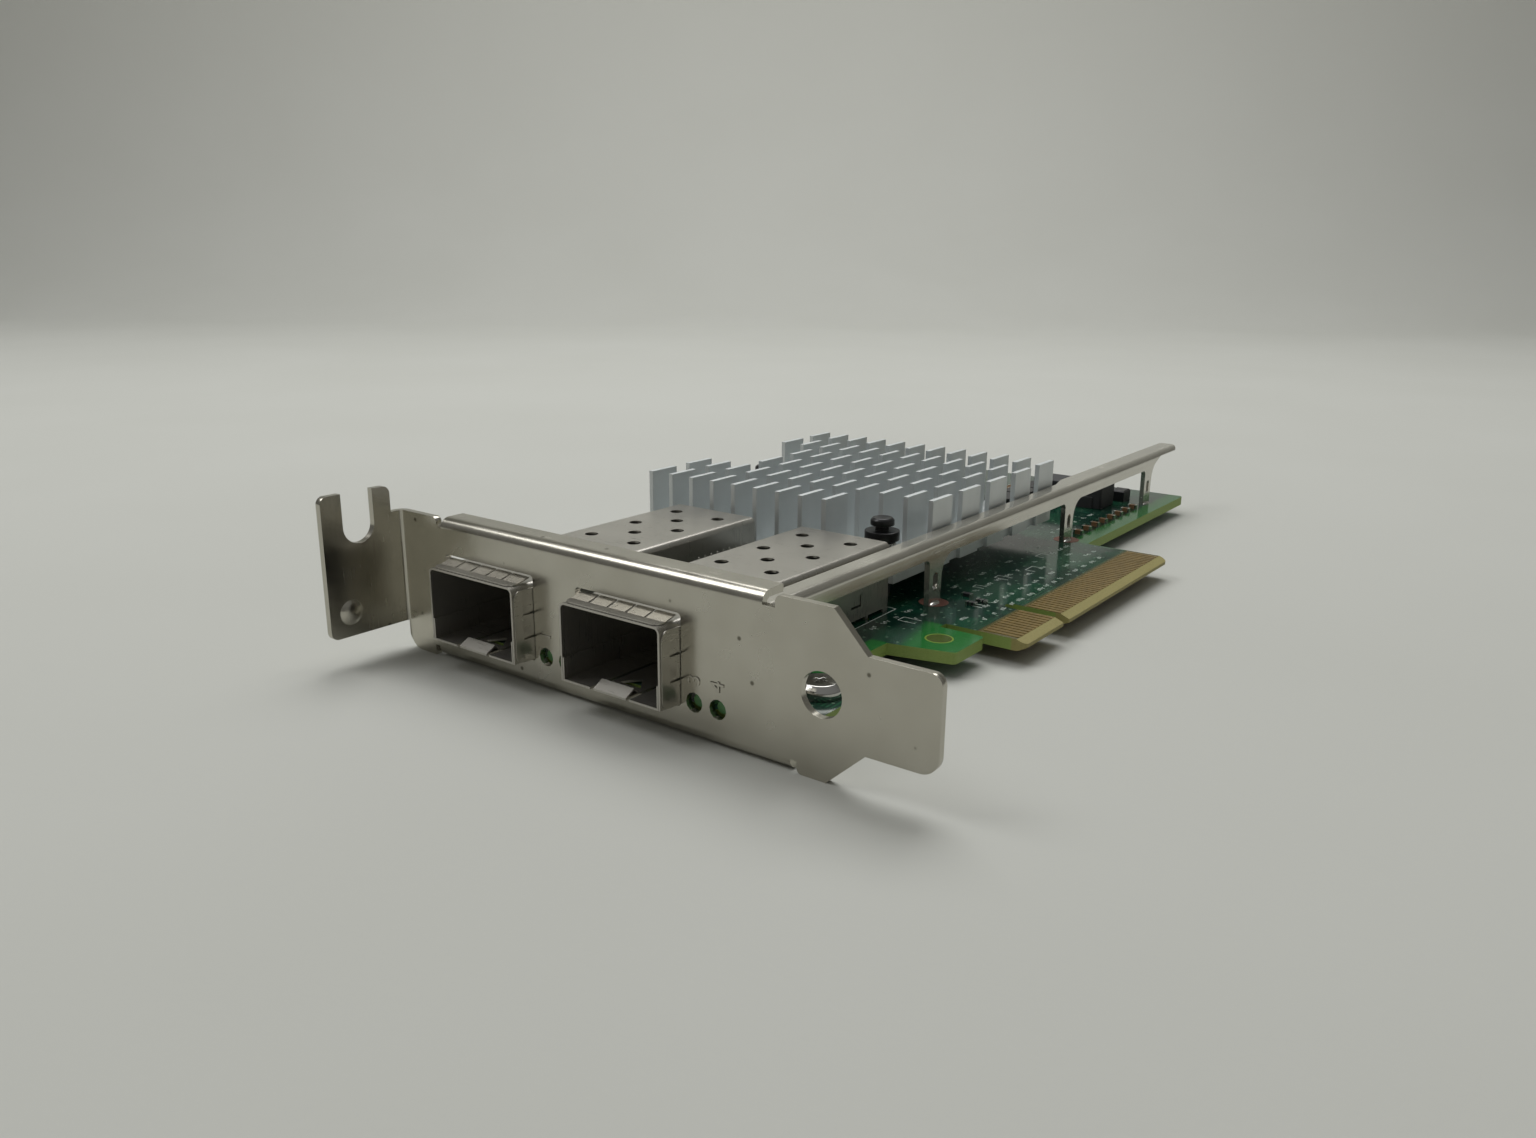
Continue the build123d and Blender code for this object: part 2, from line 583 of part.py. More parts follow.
def cage_floor(centre):
    """Floor of a cage inside its cover, with low sides and a latch tongue with a raised lip."""
    half = CAGE_WIDTH / 2 - CAGE_SHEET - FLOOR_FIT
    inner = half - CAGE_SHEET + FLOOR_FIT
    front = -CAGE_NOSE
    back = HOUSING_START - FLOOR_TO_HOUSING
    low = CAGE_LIFT
    floor = box((-half, half), (front, back), (low, low + CAGE_SHEET))
    for side in (-1, 1):
        limits = sorted((side * inner, side * half))
        floor += box(limits, (front, back), (low, low + FLOOR_SIDE))
        slit = sorted((side * LATCH_WIDTH / 2, side * (LATCH_WIDTH / 2 + LATCH_SLIT)))
        floor -= box(slit, (front - 1, front + LATCH_LENGTH), (low - 1, low + FLOOR_SIDE / 2))
    catch_front = front + CATCH_BEHIND
    catch = outline(
        (-CATCH_WIDTH / 2, catch_front), (CATCH_WIDTH / 2, catch_front), (0, catch_front + CATCH_LENGTH))
    floor -= raised(catch, low - 1, low + 1)
    crest = low + LATCH_RISE
    crest_at = front + LATCH_RUN
    foot_at = crest_at + LATCH_RISE
    lip = outline(
        (front, low), (crest_at, crest), (foot_at, low), (foot_at, low + CAGE_SHEET),
        (crest_at, crest + CAGE_SHEET), (front, low + CAGE_SHEET))
    floor += widened(lip, -LATCH_WIDTH / 2, LATCH_WIDTH / 2)
    return Pos(centre, 0, 0) * floor


def finger_side(rise):
    """(y, z) outline of a spring strip: a flat band, then fingers that slope out to the cut-out."""
    band = -COLLAR_START + COLLAR_BAND
    fit = COLLAR_FIT
    end = rise - COLLAR_SHEET
    return outline(
        (-COLLAR_START, fit), (band, fit), (COLLAR_END, end),
        (COLLAR_END, rise), (band, fit + COLLAR_SHEET), (-COLLAR_START, fit + COLLAR_SHEET))


def spring_strip(width, fingers, rise):
    """Spring strip on a wall: x along the wall, y into the card, z out from the wall."""
    half = width / 2
    strip = widened(finger_side(rise), -half, half)
    front_corners = [(-half, -COLLAR_START), (half, -COLLAR_START)]
    plan = outline(*front_corners, (half, COLLAR_END), (-half, COLLAR_END))
    strip &= raised(rounded(plan, front_corners, COLLAR_ROUND), -1, 1)
    slit_start = -COLLAR_START + COLLAR_BAND
    for number in range(1, fingers):
        middle = width * number / fingers - half
        slit = (middle - COLLAR_SLIT / 2, middle + COLLAR_SLIT / 2)
        strip -= box(slit, (slit_start, COLLAR_END + 1), (-1, 1))
    return strip


def spring_collar(centre):
    """Three spring strips on a cage's nose, which press out against the bracket's cut-out."""
    half = CAGE_WIDTH / 2
    height = CAGE_TOP - COLLAR_SHORT - CAGE_LIFT
    middle = CAGE_LIFT + height / 2
    top = spring_strip(2 * (half - COLLAR_SHORT), TOP_FINGERS, CUTOUT_ABOVE - TOP_FINGER_PLAY)
    side = spring_strip(height, SIDE_FINGERS, CUTOUT_SIDE - SIDE_FINGER_PLAY)
    return [
        Pos(centre, 0, CAGE_TOP) * top,
        Pos(centre + half, 0, middle) * Rot(0, 90, 0) * side,
        Pos(centre - half, 0, middle) * Rot(0, -90, 0) * side,
    ]


def pin_levels():
    """Heights of the upper and lower contact rows in the connector's slot."""
    half = HOUSING_SLOT_HEIGHT / 2
    return HOUSING_SLOT_CENTRE + half - PIN_SHEET, HOUSING_SLOT_CENTRE - half


def connector_housing(centre):
    """Black housing at the rear of a cage, with the slot for the module's card edge."""
    half = HOUSING_WIDTH / 2
    housing = box((-half, half), (HOUSING_START, HOUSING_BACK), (0, HOUSING_HEIGHT))
    front_edges = housing.edges().group_by(Axis.Y)[0].filter_by(Axis.X)
    housing = chamfer(front_edges.sort_by(Axis.Z)[-1], HOUSING_HEIGHT / 6)
    slot_half = HOUSING_SLOT_WIDTH / 2
    low = HOUSING_SLOT_CENTRE - HOUSING_SLOT_HEIGHT / 2
    slot_back = HOUSING_START + HOUSING_SLOT_DEPTH
    housing -= box((-slot_half, slot_half), (HOUSING_START - 1, slot_back), (low, low + HOUSING_SLOT_HEIGHT))
    for level in pin_levels():
        slit = (level - PIN_PLAY, level + PIN_SHEET + PIN_PLAY)
        housing -= box((-slot_half, slot_half), (slot_back - 1, HOUSING_BACK + 1), slit)
    return Pos(centre, 0, 0) * housing


def connector_contacts():
    """Contacts of both connectors: blades in the slot, bent down behind to the board."""
    tail = HOUSING_BACK + PIN_PLAY
    tip = HOUSING_START + HOUSING_SLOT_DEPTH / 4
    upper, lower = pin_levels()
    group = []
    for centre in PORTS:
        for level, shift in ((upper, PIN_PITCH / 2), (lower, 0)):
            blade = outline(
                (tip, level), (tail, level), (tail, 0), (tail + PIN_SHEET, 0),
                (tail + PIN_SHEET, level + PIN_SHEET), (tip, level + PIN_SHEET))
            first = centre + shift - PIN_PITCH * PIN_ROW / 2
            for number in range(PIN_ROW):
                left = first + number * PIN_PITCH
                group.append(widened(blade, left, left + PIN_WIDTH))
    return group


def status_lamps():
    """Four right-angle lamps on the board's front edge, each with a lens behind its hole."""
    group = []
    half = LAMP_BODY / 2
    for centre in PORTS:
        for number in range(2):
            lamp = box((-half, half), (FRONT, FRONT + LAMP_BODY), (0, 2 * LAMP_HEIGHT))
            face = Pos(0, LAMP_HEIGHT) * small_hole(LAMP_LENS)
            lens = deepened(face, SHEET, FRONT + LAMP_BODY / 2)
            group.append(Pos(centre + LAMP_OFFSET + number * LAMP_PITCH, 0, 0) * (lamp + lens))
    return group


def controller_chip():
    """Chip under the heatsink: carrier with a smaller lid."""
    carrier = Pos(*SINK_CENTRE, CHIP_CARRIER / 2) * Box(CHIP_SIDE, CHIP_SIDE, CHIP_CARRIER)
    lid_height = CHIP_HEIGHT - CHIP_CARRIER
    lid = Pos(*SINK_CENTRE, CHIP_CARRIER + lid_height / 2) * Box(CHIP_LID, CHIP_LID, lid_height)
    return carrier + lid


def thermal_pad():
    """Soft pad between the chip's lid and the heatsink."""
    return Pos(*SINK_CENTRE, CHIP_HEIGHT + PAD_THICK / 2) * Box(CHIP_LID, CHIP_LID, PAD_THICK)


def heatsink():
    """Fins cross-cut into rows on an inset base, with two pockets for the push pins."""
    fins = Part()
    for column in range(FIN_COLUMNS):
        left = FIN_START + column * FIN_STEP
        fins += box((left, left + FIN_THICK), (ROW_START, ROW_END), (SINK_LOW, FIN_TOP))
    across = (FIN_START - 1, FIN_END + 1)
    whole = (SINK_LOW - 1, FIN_TOP + 1)
    for row in range(1, FIN_ROWS):
        front = ROW_START + row * ROW_STEP - ROW_GAP
        fins -= box(across, (front, front + ROW_GAP), whole)
    near_pocket = FIN_END - 3 * FIN_STEP + FIN_THICK
    fins -= box((near_pocket, across[1]), (ROW_START - 1, ROW_START + ROW_STEP - ROW_GAP), whole)
    far_pocket = FIN_START + 2 * FIN_STEP - FIN_THICK
    middle = SINK_CENTRE[1]
    fins -= box((across[0], far_pocket), (middle - ROW_STEP, middle + ROW_STEP), whole)
    base = box(
        (FIN_START + SINK_INSET, FIN_END - SINK_INSET), (ROW_START - SINK_MARGIN, ROW_END + SINK_MARGIN),
        (SINK_LOW, FIN_LOW))
    sink = base + fins
    for centre in PUSH_PINS:
        sink -= raised(Pos(*centre) * small_hole(PUSH_HOLE), SINK_LOW - 1, FIN_TOP + 1)
    return sink


def push_pins():
    """Two nylon push pins: cap, neck, collar, shaft and a split barb under the board."""
    collar_top = PUSH_COLLAR_UNDER + PUSH_COLLAR_THICK
    neck_top = collar_top + PUSH_NECK_HEIGHT
    cap_top = neck_top + PUSH_CAP_THICK
    seat = -BOARD - PUSH_PLAY
    tip = seat - PUSH_BARB_LENGTH
    side = outline(
        (0, tip), (PUSH_SHAFT - PUSH_SPLIT / 2, tip), (PUSH_BARB, seat), (PUSH_SHAFT, seat),
        (PUSH_SHAFT, PUSH_COLLAR_UNDER), (PUSH_COLLAR, PUSH_COLLAR_UNDER), (PUSH_COLLAR, collar_top),
        (PUSH_NECK, collar_top), (PUSH_NECK, neck_top), (PUSH_CAP, neck_top),
        (PUSH_CAP, cap_top - PUSH_BEVEL), (PUSH_CAP - PUSH_BEVEL, cap_top), (0, cap_top))
    pin = revolve(Plane.XZ * side, Axis.Z)
    pin -= box((-PUSH_SPLIT / 2, PUSH_SPLIT / 2), (-PUSH_COLLAR, PUSH_COLLAR), (tip - 1, 0))
    return [Pos(*centre, 0) * pin for centre in PUSH_PINS]


def push_pin_springs():
    """Open coil springs between the pins' collars and the heatsink's base."""
    low = FIN_LOW + SPRING_WIRE + SPRING_SEAT
    high = PUSH_COLLAR_UNDER - SPRING_WIRE - SPRING_SEAT
    runs = SPRING_TURNS * SPRING_RUNS
    points = []
    for run in range(runs + 1):
        start = Vector(SPRING_RADIUS, 0, (high - low) * run / runs)
        points.append(start.rotate(Axis.Z, 360 * run / SPRING_RUNS))
    path = Polyline(*points)
    wire = Plane(origin=path @ 0, z_dir=path % 0) * RegularPolygon(SPRING_WIRE, SPRING_SIDES)
    spring = sweep(wire, path=path, transition=Transition.RIGHT)
    return [Pos(*centre, low) * spring for centre in PUSH_PINS]


def rail_side():
    """(y, z) outline of the rail's web with its three legs."""
    low = RAIL_TOP - RAIL_WEB
    under = RAIL_TOP - RAIL_SHEET
    end = REAR + RAIL_END_BEYOND
    foot = -BOARD - TENON_BELOW
    points = [(RAIL_START, RAIL_TOP), (end, RAIL_TOP), (end, under), (REAR - RAIL_WEB_END, under)]
    for centre in reversed(LEGS):
        points += [(centre + LEG_TOP, low), (centre + LEG_FOOT, 0), (centre + LEG_TENON, 0)]
        points += [(centre + LEG_TENON, foot), (centre - LEG_TENON, foot)]
        points += [(centre - LEG_TENON, 0), (centre - LEG_FOOT, 0), (centre - LEG_TOP, low)]
    points.append((RAIL_START, low))
    side = rounded(outline(*points), [(centre + LEG_TOP, low) for centre in LEGS], LEG_REAR_CURVE)
    side = rounded(side, [(centre - LEG_TOP, low) for centre in LEGS], LEG_FRONT_CURVE)
    for centre in LEGS:
        side -= Pos(centre, EYE_CENTRE) * Rot(0, 0, 90) * SlotOverall(EYE_HEIGHT, EYE_WIDTH)
    return side


def rail_plan():
    """(x, y) outline of the rail's flange, with the step behind the heatsink."""
    step = RAIL_INNER - RAIL_JOG
    jog_start = ROW_END + SINK_MARGIN + SINK_TO_RAIL
    jog_end = jog_start + RAIL_JOG_LENGTH
    end = REAR + RAIL_END_BEYOND
    face = outline(
        (RAIL_INNER, RAIL_START), (RAIL_OUTER, RAIL_START), (RAIL_OUTER, end), (step, end),
        (step, jog_end), (RAIL_INNER, jog_start))
    face = rounded(face, [(step, jog_end), (RAIL_INNER, jog_start)], RAIL_JOG_LENGTH)
    face = rounded(face, [(RAIL_OUTER, end)], RAIL_END_ROUND)
    return rounded(face, [(step, end)], RAIL_SHEET)


def stiffener_rail():
    """Folded rail: flange on top, web outside, legs with needle eyes and tenons in the board."""
    inner = RAIL_INNER - RAIL_JOG
    deep = -BOARD - TENON_BELOW
    under = RAIL_TOP - RAIL_SHEET
    web = RAIL_OUTER - RAIL_SHEET
    section = outline(
        (inner, RAIL_TOP), (RAIL_OUTER, RAIL_TOP), (RAIL_OUTER, deep), (web, deep), (web, under),
        (inner, under))
    section = rounded(section, [(RAIL_OUTER, RAIL_TOP)], RAIL_BEND + RAIL_SHEET)
    section = rounded(section, [(web, under)], RAIL_BEND)
    rail = deepened(section, RAIL_START, REAR + RAIL_END_BEYOND)
    rail &= widened(rail_side(), inner - 1, RAIL_OUTER + 1)
    rail &= raised(rail_plan(), deep - 1, RAIL_TOP + 1)
    return rail


def case(length, width, height):
    """Moulded case on the board, its upright edges bevelled."""
    body = Pos(0, 0, height / 2) * Box(length, width, height)
    return chamfer(body.edges().filter_by(Axis.Z), CASE_BEVEL)


def power_inductors():
    """Two moulded inductors side by side, with their clips folded up at both ends."""
    group = []
    for number in range(2):
        body = case(INDUCTOR_SIDE, INDUCTOR_SIDE, INDUCTOR_HEIGHT)
        for end in (-1, 1):
            place = Pos(0, end * (INDUCTOR_SIDE + INDUCTOR_CLIP) / 2, INDUCTOR_HEIGHT / 4)
            body += place * Box(INDUCTOR_SIDE / 2, INDUCTOR_CLIP, INDUCTOR_HEIGHT / 2)
        group.append(Pos(INDUCTORS[0] - number * INDUCTOR_PITCH, INDUCTORS[1], 0) * body)
    return group


def voltage_regulators():
    """Flat power packages beside the inductors."""
    x = INDUCTORS[0] - 2 * INDUCTOR_PITCH
    first = INDUCTORS[1] - (REGULATOR_COUNT // 2) * (REGULATOR_LENGTH + PART_GAP)
    group = []
    for number in range(REGULATOR_COUNT):
        body = case(REGULATOR_WIDTH, REGULATOR_LENGTH, REGULATOR_HEIGHT)
        group.append(Pos(x, first + number * (REGULATOR_LENGTH + PART_GAP), 0) * body)
    return group


def flash_memory():
    """Memory chip with bent leads on two sides."""
    body_height = MEMORY_HEIGHT - MEMORY_LEAD
    body = Pos(0, 0, MEMORY_LEAD + body_height / 2) * Box(MEMORY_SIDE, MEMORY_SIDE, body_height)
    body = chamfer(body.edges().group_by(Axis.Z)[-1], MEMORY_LEAD)
    level = MEMORY_HEIGHT / 2
    for end in (-1, 1):
        root = end * MEMORY_SIDE / 2
        bend = root + end * MEMORY_FOOT
        tip = root + end * 2 * MEMORY_FOOT
        side = outline(
            (root, level), (root, level + MEMORY_LEAD), (bend, level + MEMORY_LEAD), (bend, MEMORY_LEAD),
            (tip, MEMORY_LEAD), (tip, 0), (bend - end * MEMORY_LEAD, 0), (bend - end * MEMORY_LEAD, level))
        for number in range(MEMORY_LEADS):
            x = (number - (MEMORY_LEADS - 1) / 2) * MEMORY_LEAD_PITCH
            body += widened(side, x - MEMORY_LEAD, x + MEMORY_LEAD)
    return Pos(BOARD_SIDE + MEMORY_PLACE[0], ROW_END + MEMORY_PLACE[1], 0) * body


def crystal():
    """Crystal: ceramic base with a metal lid, set in all round by twice the lid's thickness."""
    base = Pos(0, 0, CRYSTAL_BASE / 2) * Box(CRYSTAL_WIDTH, CRYSTAL_LENGTH, CRYSTAL_BASE)
    lid = Box(CRYSTAL_WIDTH - 2 * CRYSTAL_LID, CRYSTAL_LENGTH - 2 * CRYSTAL_LID, CRYSTAL_LID)
    lid = Pos(0, 0, CRYSTAL_BASE + CRYSTAL_LID / 2) * lid
    return Pos(BOARD_SIDE + CRYSTAL_PLACE[0], ROW_END + CRYSTAL_PLACE[1], 0) * (base + lid)


def tantalum_capacitors():
    """Moulded capacitors in a row behind the inductors."""
    y = REAR - TANTALUM_FROM_REAR - TANTALUM_LENGTH / 2
    first = RAIL_INNER - RAIL_JOG - TANTALUM_WIDTH / 2
    group = []
    for number in range(TANTALUM_COUNT):
        body = Pos(0, 0, TANTALUM_HEIGHT / 2) * Box(TANTALUM_WIDTH, TANTALUM_LENGTH, TANTALUM_HEIGHT)
        body = chamfer(body.edges().group_by(Axis.Z)[-1], CASE_BEVEL)
        group.append(Pos(first - number * (TANTALUM_WIDTH + PART_GAP), y, 0) * body)
    return group


def ceramic_capacitors():
    """Small ceramic capacitors: a line under the rail and a block beside the regulators."""
    chip = Pos(0, 0, CERAMIC_HEIGHT / 2) * Box(CERAMIC_LENGTH, CERAMIC_WIDTH, CERAMIC_HEIGHT)
    group = []
    for number in range(CERAMIC_ROW):
        y = LEGS[1] + CERAMIC_BEHIND_LEG + number * CERAMIC_PITCH
        group.append(Pos(RAIL_OUTER - RAIL_SHEET / 2, y, 0) * chip)
    x = INDUCTORS[0] - 2 * INDUCTOR_PITCH - (REGULATOR_WIDTH + CERAMIC_LENGTH) / 2 - PART_GAP
    for number in range(CERAMIC_BLOCK):
        group.append(Pos(x, INDUCTORS[1] + number * (CERAMIC_WIDTH + PART_GAP), 0) * chip)
    return group


def chip_resistors():
    """Chip resistors: three beside the first leg, a block in line with the capacitors."""
    chip = Pos(0, 0, RESISTOR_HEIGHT / 2) * Box(RESISTOR_LENGTH, RESISTOR_WIDTH, RESISTOR_HEIGHT)
    group = []
    for across, behind in RESISTORS_BY_LEG:
        group.append(Pos(RAIL_OUTER + across, LEGS[0] + behind, 0) * chip)
    x = INDUCTORS[0] - 2 * INDUCTOR_PITCH - (REGULATOR_WIDTH + RESISTOR_LENGTH) / 2 - PART_GAP
    for number in range(1, RESISTOR_BLOCK + 1):
        group.append(Pos(x, INDUCTORS[1] - number * (RESISTOR_WIDTH + PART_GAP), 0) * chip)
    return group


def pieces():
    """Every piece by its name, as a list of solids each."""
    named = {
        "circuit_board": [circuit_board()],
        "edge_contacts": edge_contacts(),
        "bracket": [bracket()],
        "bracket_screws": bracket_screws(),
        "connector_contacts": connector_contacts(),
        "status_lamps": status_lamps(),
        "controller_chip": [controller_chip()],
        "thermal_pad": [thermal_pad()],
        "heatsink": [heatsink()],
        "push_pins": push_pins(),
        "push_pin_springs": push_pin_springs(),
        "stiffener_rail": [stiffener_rail()],
        "power_inductors": power_inductors(),
        "voltage_regulators": voltage_regulators(),
        "flash_memory": [flash_memory()],
        "crystal": [crystal()],
        "tantalum_capacitors": tantalum_capacitors(),
        "ceramic_capacitors": ceramic_capacitors(),
        "chip_resistors": chip_resistors(),
    }
    for number, centre in enumerate(PORTS, start=1):
        named[f"port_{number}_cage"] = [cage_cover(centre)]
        named[f"port_{number}_floor"] = [cage_floor(centre)]
        named[f"port_{number}_collar"] = spring_collar(centre)
        named[f"port_{number}_connector"] = [connector_housing(centre)]
    return named


os.makedirs("parts", exist_ok=True)
for name, solids in pieces().items():
    placed = [DATUM * solid for solid in solids]
    shape = placed[0] if len(placed) == 1 else Compound(children=placed)
    export_step(shape, f"parts/{name}.step")
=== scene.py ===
import math
import random

import bmesh
import bpy
from mathutils import Matrix, Vector


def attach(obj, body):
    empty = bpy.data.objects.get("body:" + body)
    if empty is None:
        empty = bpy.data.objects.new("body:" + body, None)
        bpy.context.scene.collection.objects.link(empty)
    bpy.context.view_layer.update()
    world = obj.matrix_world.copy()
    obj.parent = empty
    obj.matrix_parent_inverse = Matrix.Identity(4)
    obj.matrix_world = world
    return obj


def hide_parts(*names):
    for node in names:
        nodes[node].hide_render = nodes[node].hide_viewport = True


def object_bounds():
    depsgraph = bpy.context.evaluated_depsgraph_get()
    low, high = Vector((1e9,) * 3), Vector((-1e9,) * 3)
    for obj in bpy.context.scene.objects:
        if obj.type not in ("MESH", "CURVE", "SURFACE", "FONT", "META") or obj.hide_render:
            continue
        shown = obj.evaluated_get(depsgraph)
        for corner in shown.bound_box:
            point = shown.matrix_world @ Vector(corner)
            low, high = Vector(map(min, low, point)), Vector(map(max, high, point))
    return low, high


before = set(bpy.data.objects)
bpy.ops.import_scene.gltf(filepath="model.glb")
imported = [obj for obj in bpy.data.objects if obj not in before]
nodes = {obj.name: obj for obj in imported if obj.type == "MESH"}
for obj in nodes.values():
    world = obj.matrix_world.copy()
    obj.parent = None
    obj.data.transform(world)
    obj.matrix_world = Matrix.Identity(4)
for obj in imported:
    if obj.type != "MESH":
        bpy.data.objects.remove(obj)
cad_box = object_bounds()

MM = 0.001

# Camera: it stands in front of the bracket, to the right of the card and above it, and looks down
# along the card. Its place, turn and lens were fitted to the card's standard sizes.
camera_place = Vector((58.42, -145.01, 48.90)) * MM
yaw = math.radians(36.830)
pitch = math.radians(15.734)
roll = math.radians(0.529)
focal_pixels = 1182.357
frame_width_pixels = 1536
sensor_width = 36.0
nearest_seen = 1 * MM
look = Vector((-math.sin(yaw) * math.cos(pitch),
               math.cos(yaw) * math.cos(pitch),
               -math.sin(pitch)))
level_right = Vector((math.cos(yaw), math.sin(yaw), 0))
level_up = level_right.cross(look)
right = level_right * math.cos(roll) + level_up * math.sin(roll)
up = level_up * math.cos(roll) - level_right * math.sin(roll)
camera_data = bpy.data.cameras.new("camera")
camera_data.sensor_width = sensor_width
camera_data.lens = focal_pixels / frame_width_pixels * sensor_width
camera_data.clip_start = nearest_seen
camera = bpy.data.objects.new("camera", camera_data)
bpy.context.scene.collection.objects.link(camera)
turn = Matrix((right, up, -look)).transposed().to_4x4()
camera.matrix_world = Matrix.Translation(camera_place) @ turn
bpy.context.scene.camera = camera
bpy.context.scene.view_settings.view_transform = "Standard"

# Floor and backdrop: one sheet of matt paper, flat under the card and curved up into a wall behind
# it. It takes the soft shadow of the card and is no part of it. Its sizes are in metres.
floor_height = cad_box[0][2]
floor_half_width = 3.0
floor_behind_camera = 1.5
wall_from_camera = 0.95
wall_height = 1.2
sweep_radius = 0.25
sweep_segments = 24
# Height in metres over which the paper's painted light grows to its palest.
palest_height = 0.35


def linear(code):
    """sRGB hex colour as linear red, green, blue and alpha."""
    shades = [int(code[start:start + 2], 16) / 255 for start in (0, 2, 4)]
    return [shade / 12.92 if shade <= 0.04045 else ((shade + 0.055) / 1.055) ** 2.4
            for shade in shades] + [1.0]


def add(tree, kind, settings=None, links=None):
    """Adds a node to a tree, with its settings and the outputs that feed its inputs."""
    node = tree.nodes.new(kind)
    for name, value in (settings or {}).items():
        if isinstance(name, str) and hasattr(node, name):
            setattr(node, name, value)
        else:
            node.inputs[name].default_value = value
    for name, output in (links or {}).items():
        tree.links.new(output, node.inputs[name])
    return node


# A Mix node set to colour is fed by number: its amount, the colour under it and the one laid over.
mix_amount, mix_under, mix_over, mix_result = 0, 6, 7, 2


def start_material(name, colour, metallic, roughness):
    """New material; returns it with its tree, its shader and its object coordinates."""
    material = bpy.data.materials.new(name)
    material.use_nodes = True
    tree = material.node_tree
    shader = tree.nodes["Principled BSDF"]
    shader.inputs["Base Color"].default_value = linear(colour)
    shader.inputs["Metallic"].default_value = metallic
    shader.inputs["Roughness"].default_value = roughness
    surface = add(tree, "ShaderNodeTexCoord").outputs["Object"]
    return material, tree, shader, surface


def per_metre(*sizes):
    """Pattern repeats in a metre, from the size of one repeat in mm along each axis."""
    return [1 / (size * MM) for size in sizes]


def mottled(tree, surface, sizes, dark, light, detail=3.0):
    """Tint that drifts between two hex colours over a grain with sizes in mm along X, Y and Z.

    Returns the tint, and the grain for gloss and bumps to follow."""
    spread = add(tree, "ShaderNodeMapping", {"Scale": per_metre(*sizes)}, {"Vector": surface})
    grain = add(tree, "ShaderNodeTexNoise", {"Scale": 1.0, "Detail": detail},
                {"Vector": spread.outputs["Vector"]}).outputs["Fac"]
    tint = add(tree, "ShaderNodeMix",
               {"data_type": "RGBA", mix_under: linear(dark), mix_over: linear(light)},
               {mix_amount: grain})
    return tint.outputs[mix_result], grain


sweep = bmesh.new()
ends = [sweep.verts.new((side * floor_half_width, -floor_behind_camera, 0)) for side in (-1, 1)]
near_edge = sweep.edges.new(ends)
floor_run = bmesh.ops.extrude_edge_only(sweep, edges=[near_edge])["geom"]
floor_end = [item for item in floor_run if isinstance(item, bmesh.types.BMVert)]
bmesh.ops.translate(sweep, verts=floor_end, vec=(0, floor_behind_camera + wall_from_camera, 0))
fold = [item for item in floor_run if isinstance(item, bmesh.types.BMEdge)
        and all(vertex in floor_end for vertex in item.verts)]
wall_run = bmesh.ops.extrude_edge_only(sweep, edges=fold)["geom"]
wall_end = [item for item in wall_run if isinstance(item, bmesh.types.BMVert)]
bmesh.ops.translate(sweep, verts=wall_end, vec=(0, 0, wall_height))
bmesh.ops.bevel(sweep, geom=fold, offset=sweep_radius, offset_type="OFFSET", affect="EDGES",
                segments=sweep_segments, profile=0.5, material=-1)
for face in sweep.faces:
    face.smooth = True
bmesh.ops.rotate(sweep, verts=sweep.verts, cent=(0, 0, 0), matrix=Matrix.Rotation(yaw, 3, "Z"))
bmesh.ops.translate(sweep, verts=sweep.verts, vec=(camera_place.x, camera_place.y, floor_height))
sweep_data = bpy.data.meshes.new("paper_sweep")
sweep.to_mesh(sweep_data)
sweep.free()
paper_sweep = bpy.data.objects.new("paper_sweep", sweep_data)
bpy.context.scene.collection.objects.link(paper_sweep)

# Matt paper: no gloss, a faint drift of tint over the width of a hand, and a tooth of fibres about
# a millimetre long. Its colour is painted paler as it climbs: painted light, standing for the light
# on a studio wall.
paper_drift = 83.3
paper_fibre = 1.11
paper_tooth = 0.2
paper, tree, shader, surface = start_material("matt_paper", "C6C7C0", 0.0, 0.85)
floor_tint, _ = mottled(tree, surface, (paper_drift,) * 3, "C2C3BC", "C9CAC4", 2.0)
height = add(tree, "ShaderNodeSeparateXYZ", None, {"Vector": surface})
# Painted light: the paper's colour blends to a paler tint with height up the wall.
climb = add(tree, "ShaderNodeMapRange", {"From Max": palest_height},
            {"Value": height.outputs["Z"]})
tinted = add(tree, "ShaderNodeMix", {"data_type": "RGBA", mix_over: linear("DFDFD8")},
             {mix_amount: climb.outputs["Result"], mix_under: floor_tint})
tree.links.new(tinted.outputs[mix_result], shader.inputs["Base Color"])
fibres = add(tree, "ShaderNodeTexNoise", {"Scale": 1 / (paper_fibre * MM), "Detail": 4.0},
             {"Vector": surface})
tooth = add(tree, "ShaderNodeBump", {"Strength": 0.08, "Distance": paper_tooth * MM},
            {"Height": fibres.outputs["Fac"]})
tree.links.new(tooth.outputs["Normal"], shader.inputs["Normal"])
sweep_data.materials.append(paper)

# Studio light: a dim pale room all round, a large soft box over the card, and a smaller one high in
# front on the left, which the rounded top edge of the bracket mirrors as a white line.
room_low = "9C9B96"
room_high = "D8D8D6"
room_high_from = 0.9
room_strength = 0.36
world = bpy.data.worlds.new("room")
bpy.context.scene.world = world
world.use_nodes = True
tree = world.node_tree
background = tree.nodes["Background"]
direction = add(tree, "ShaderNodeTexCoord")
height = add(tree, "ShaderNodeSeparateXYZ", None, {"Vector": direction.outputs["Generated"]})
ramp = add(tree, "ShaderNodeValToRGB", None, {"Fac": height.outputs["Z"]})
low_end, high_end = ramp.color_ramp.elements
low_end.color = linear(room_low)
high_end.position = room_high_from
high_end.color = linear(room_high)
tree.links.new(ramp.outputs["Color"], background.inputs["Color"])
background.inputs["Strength"].default_value = room_strength


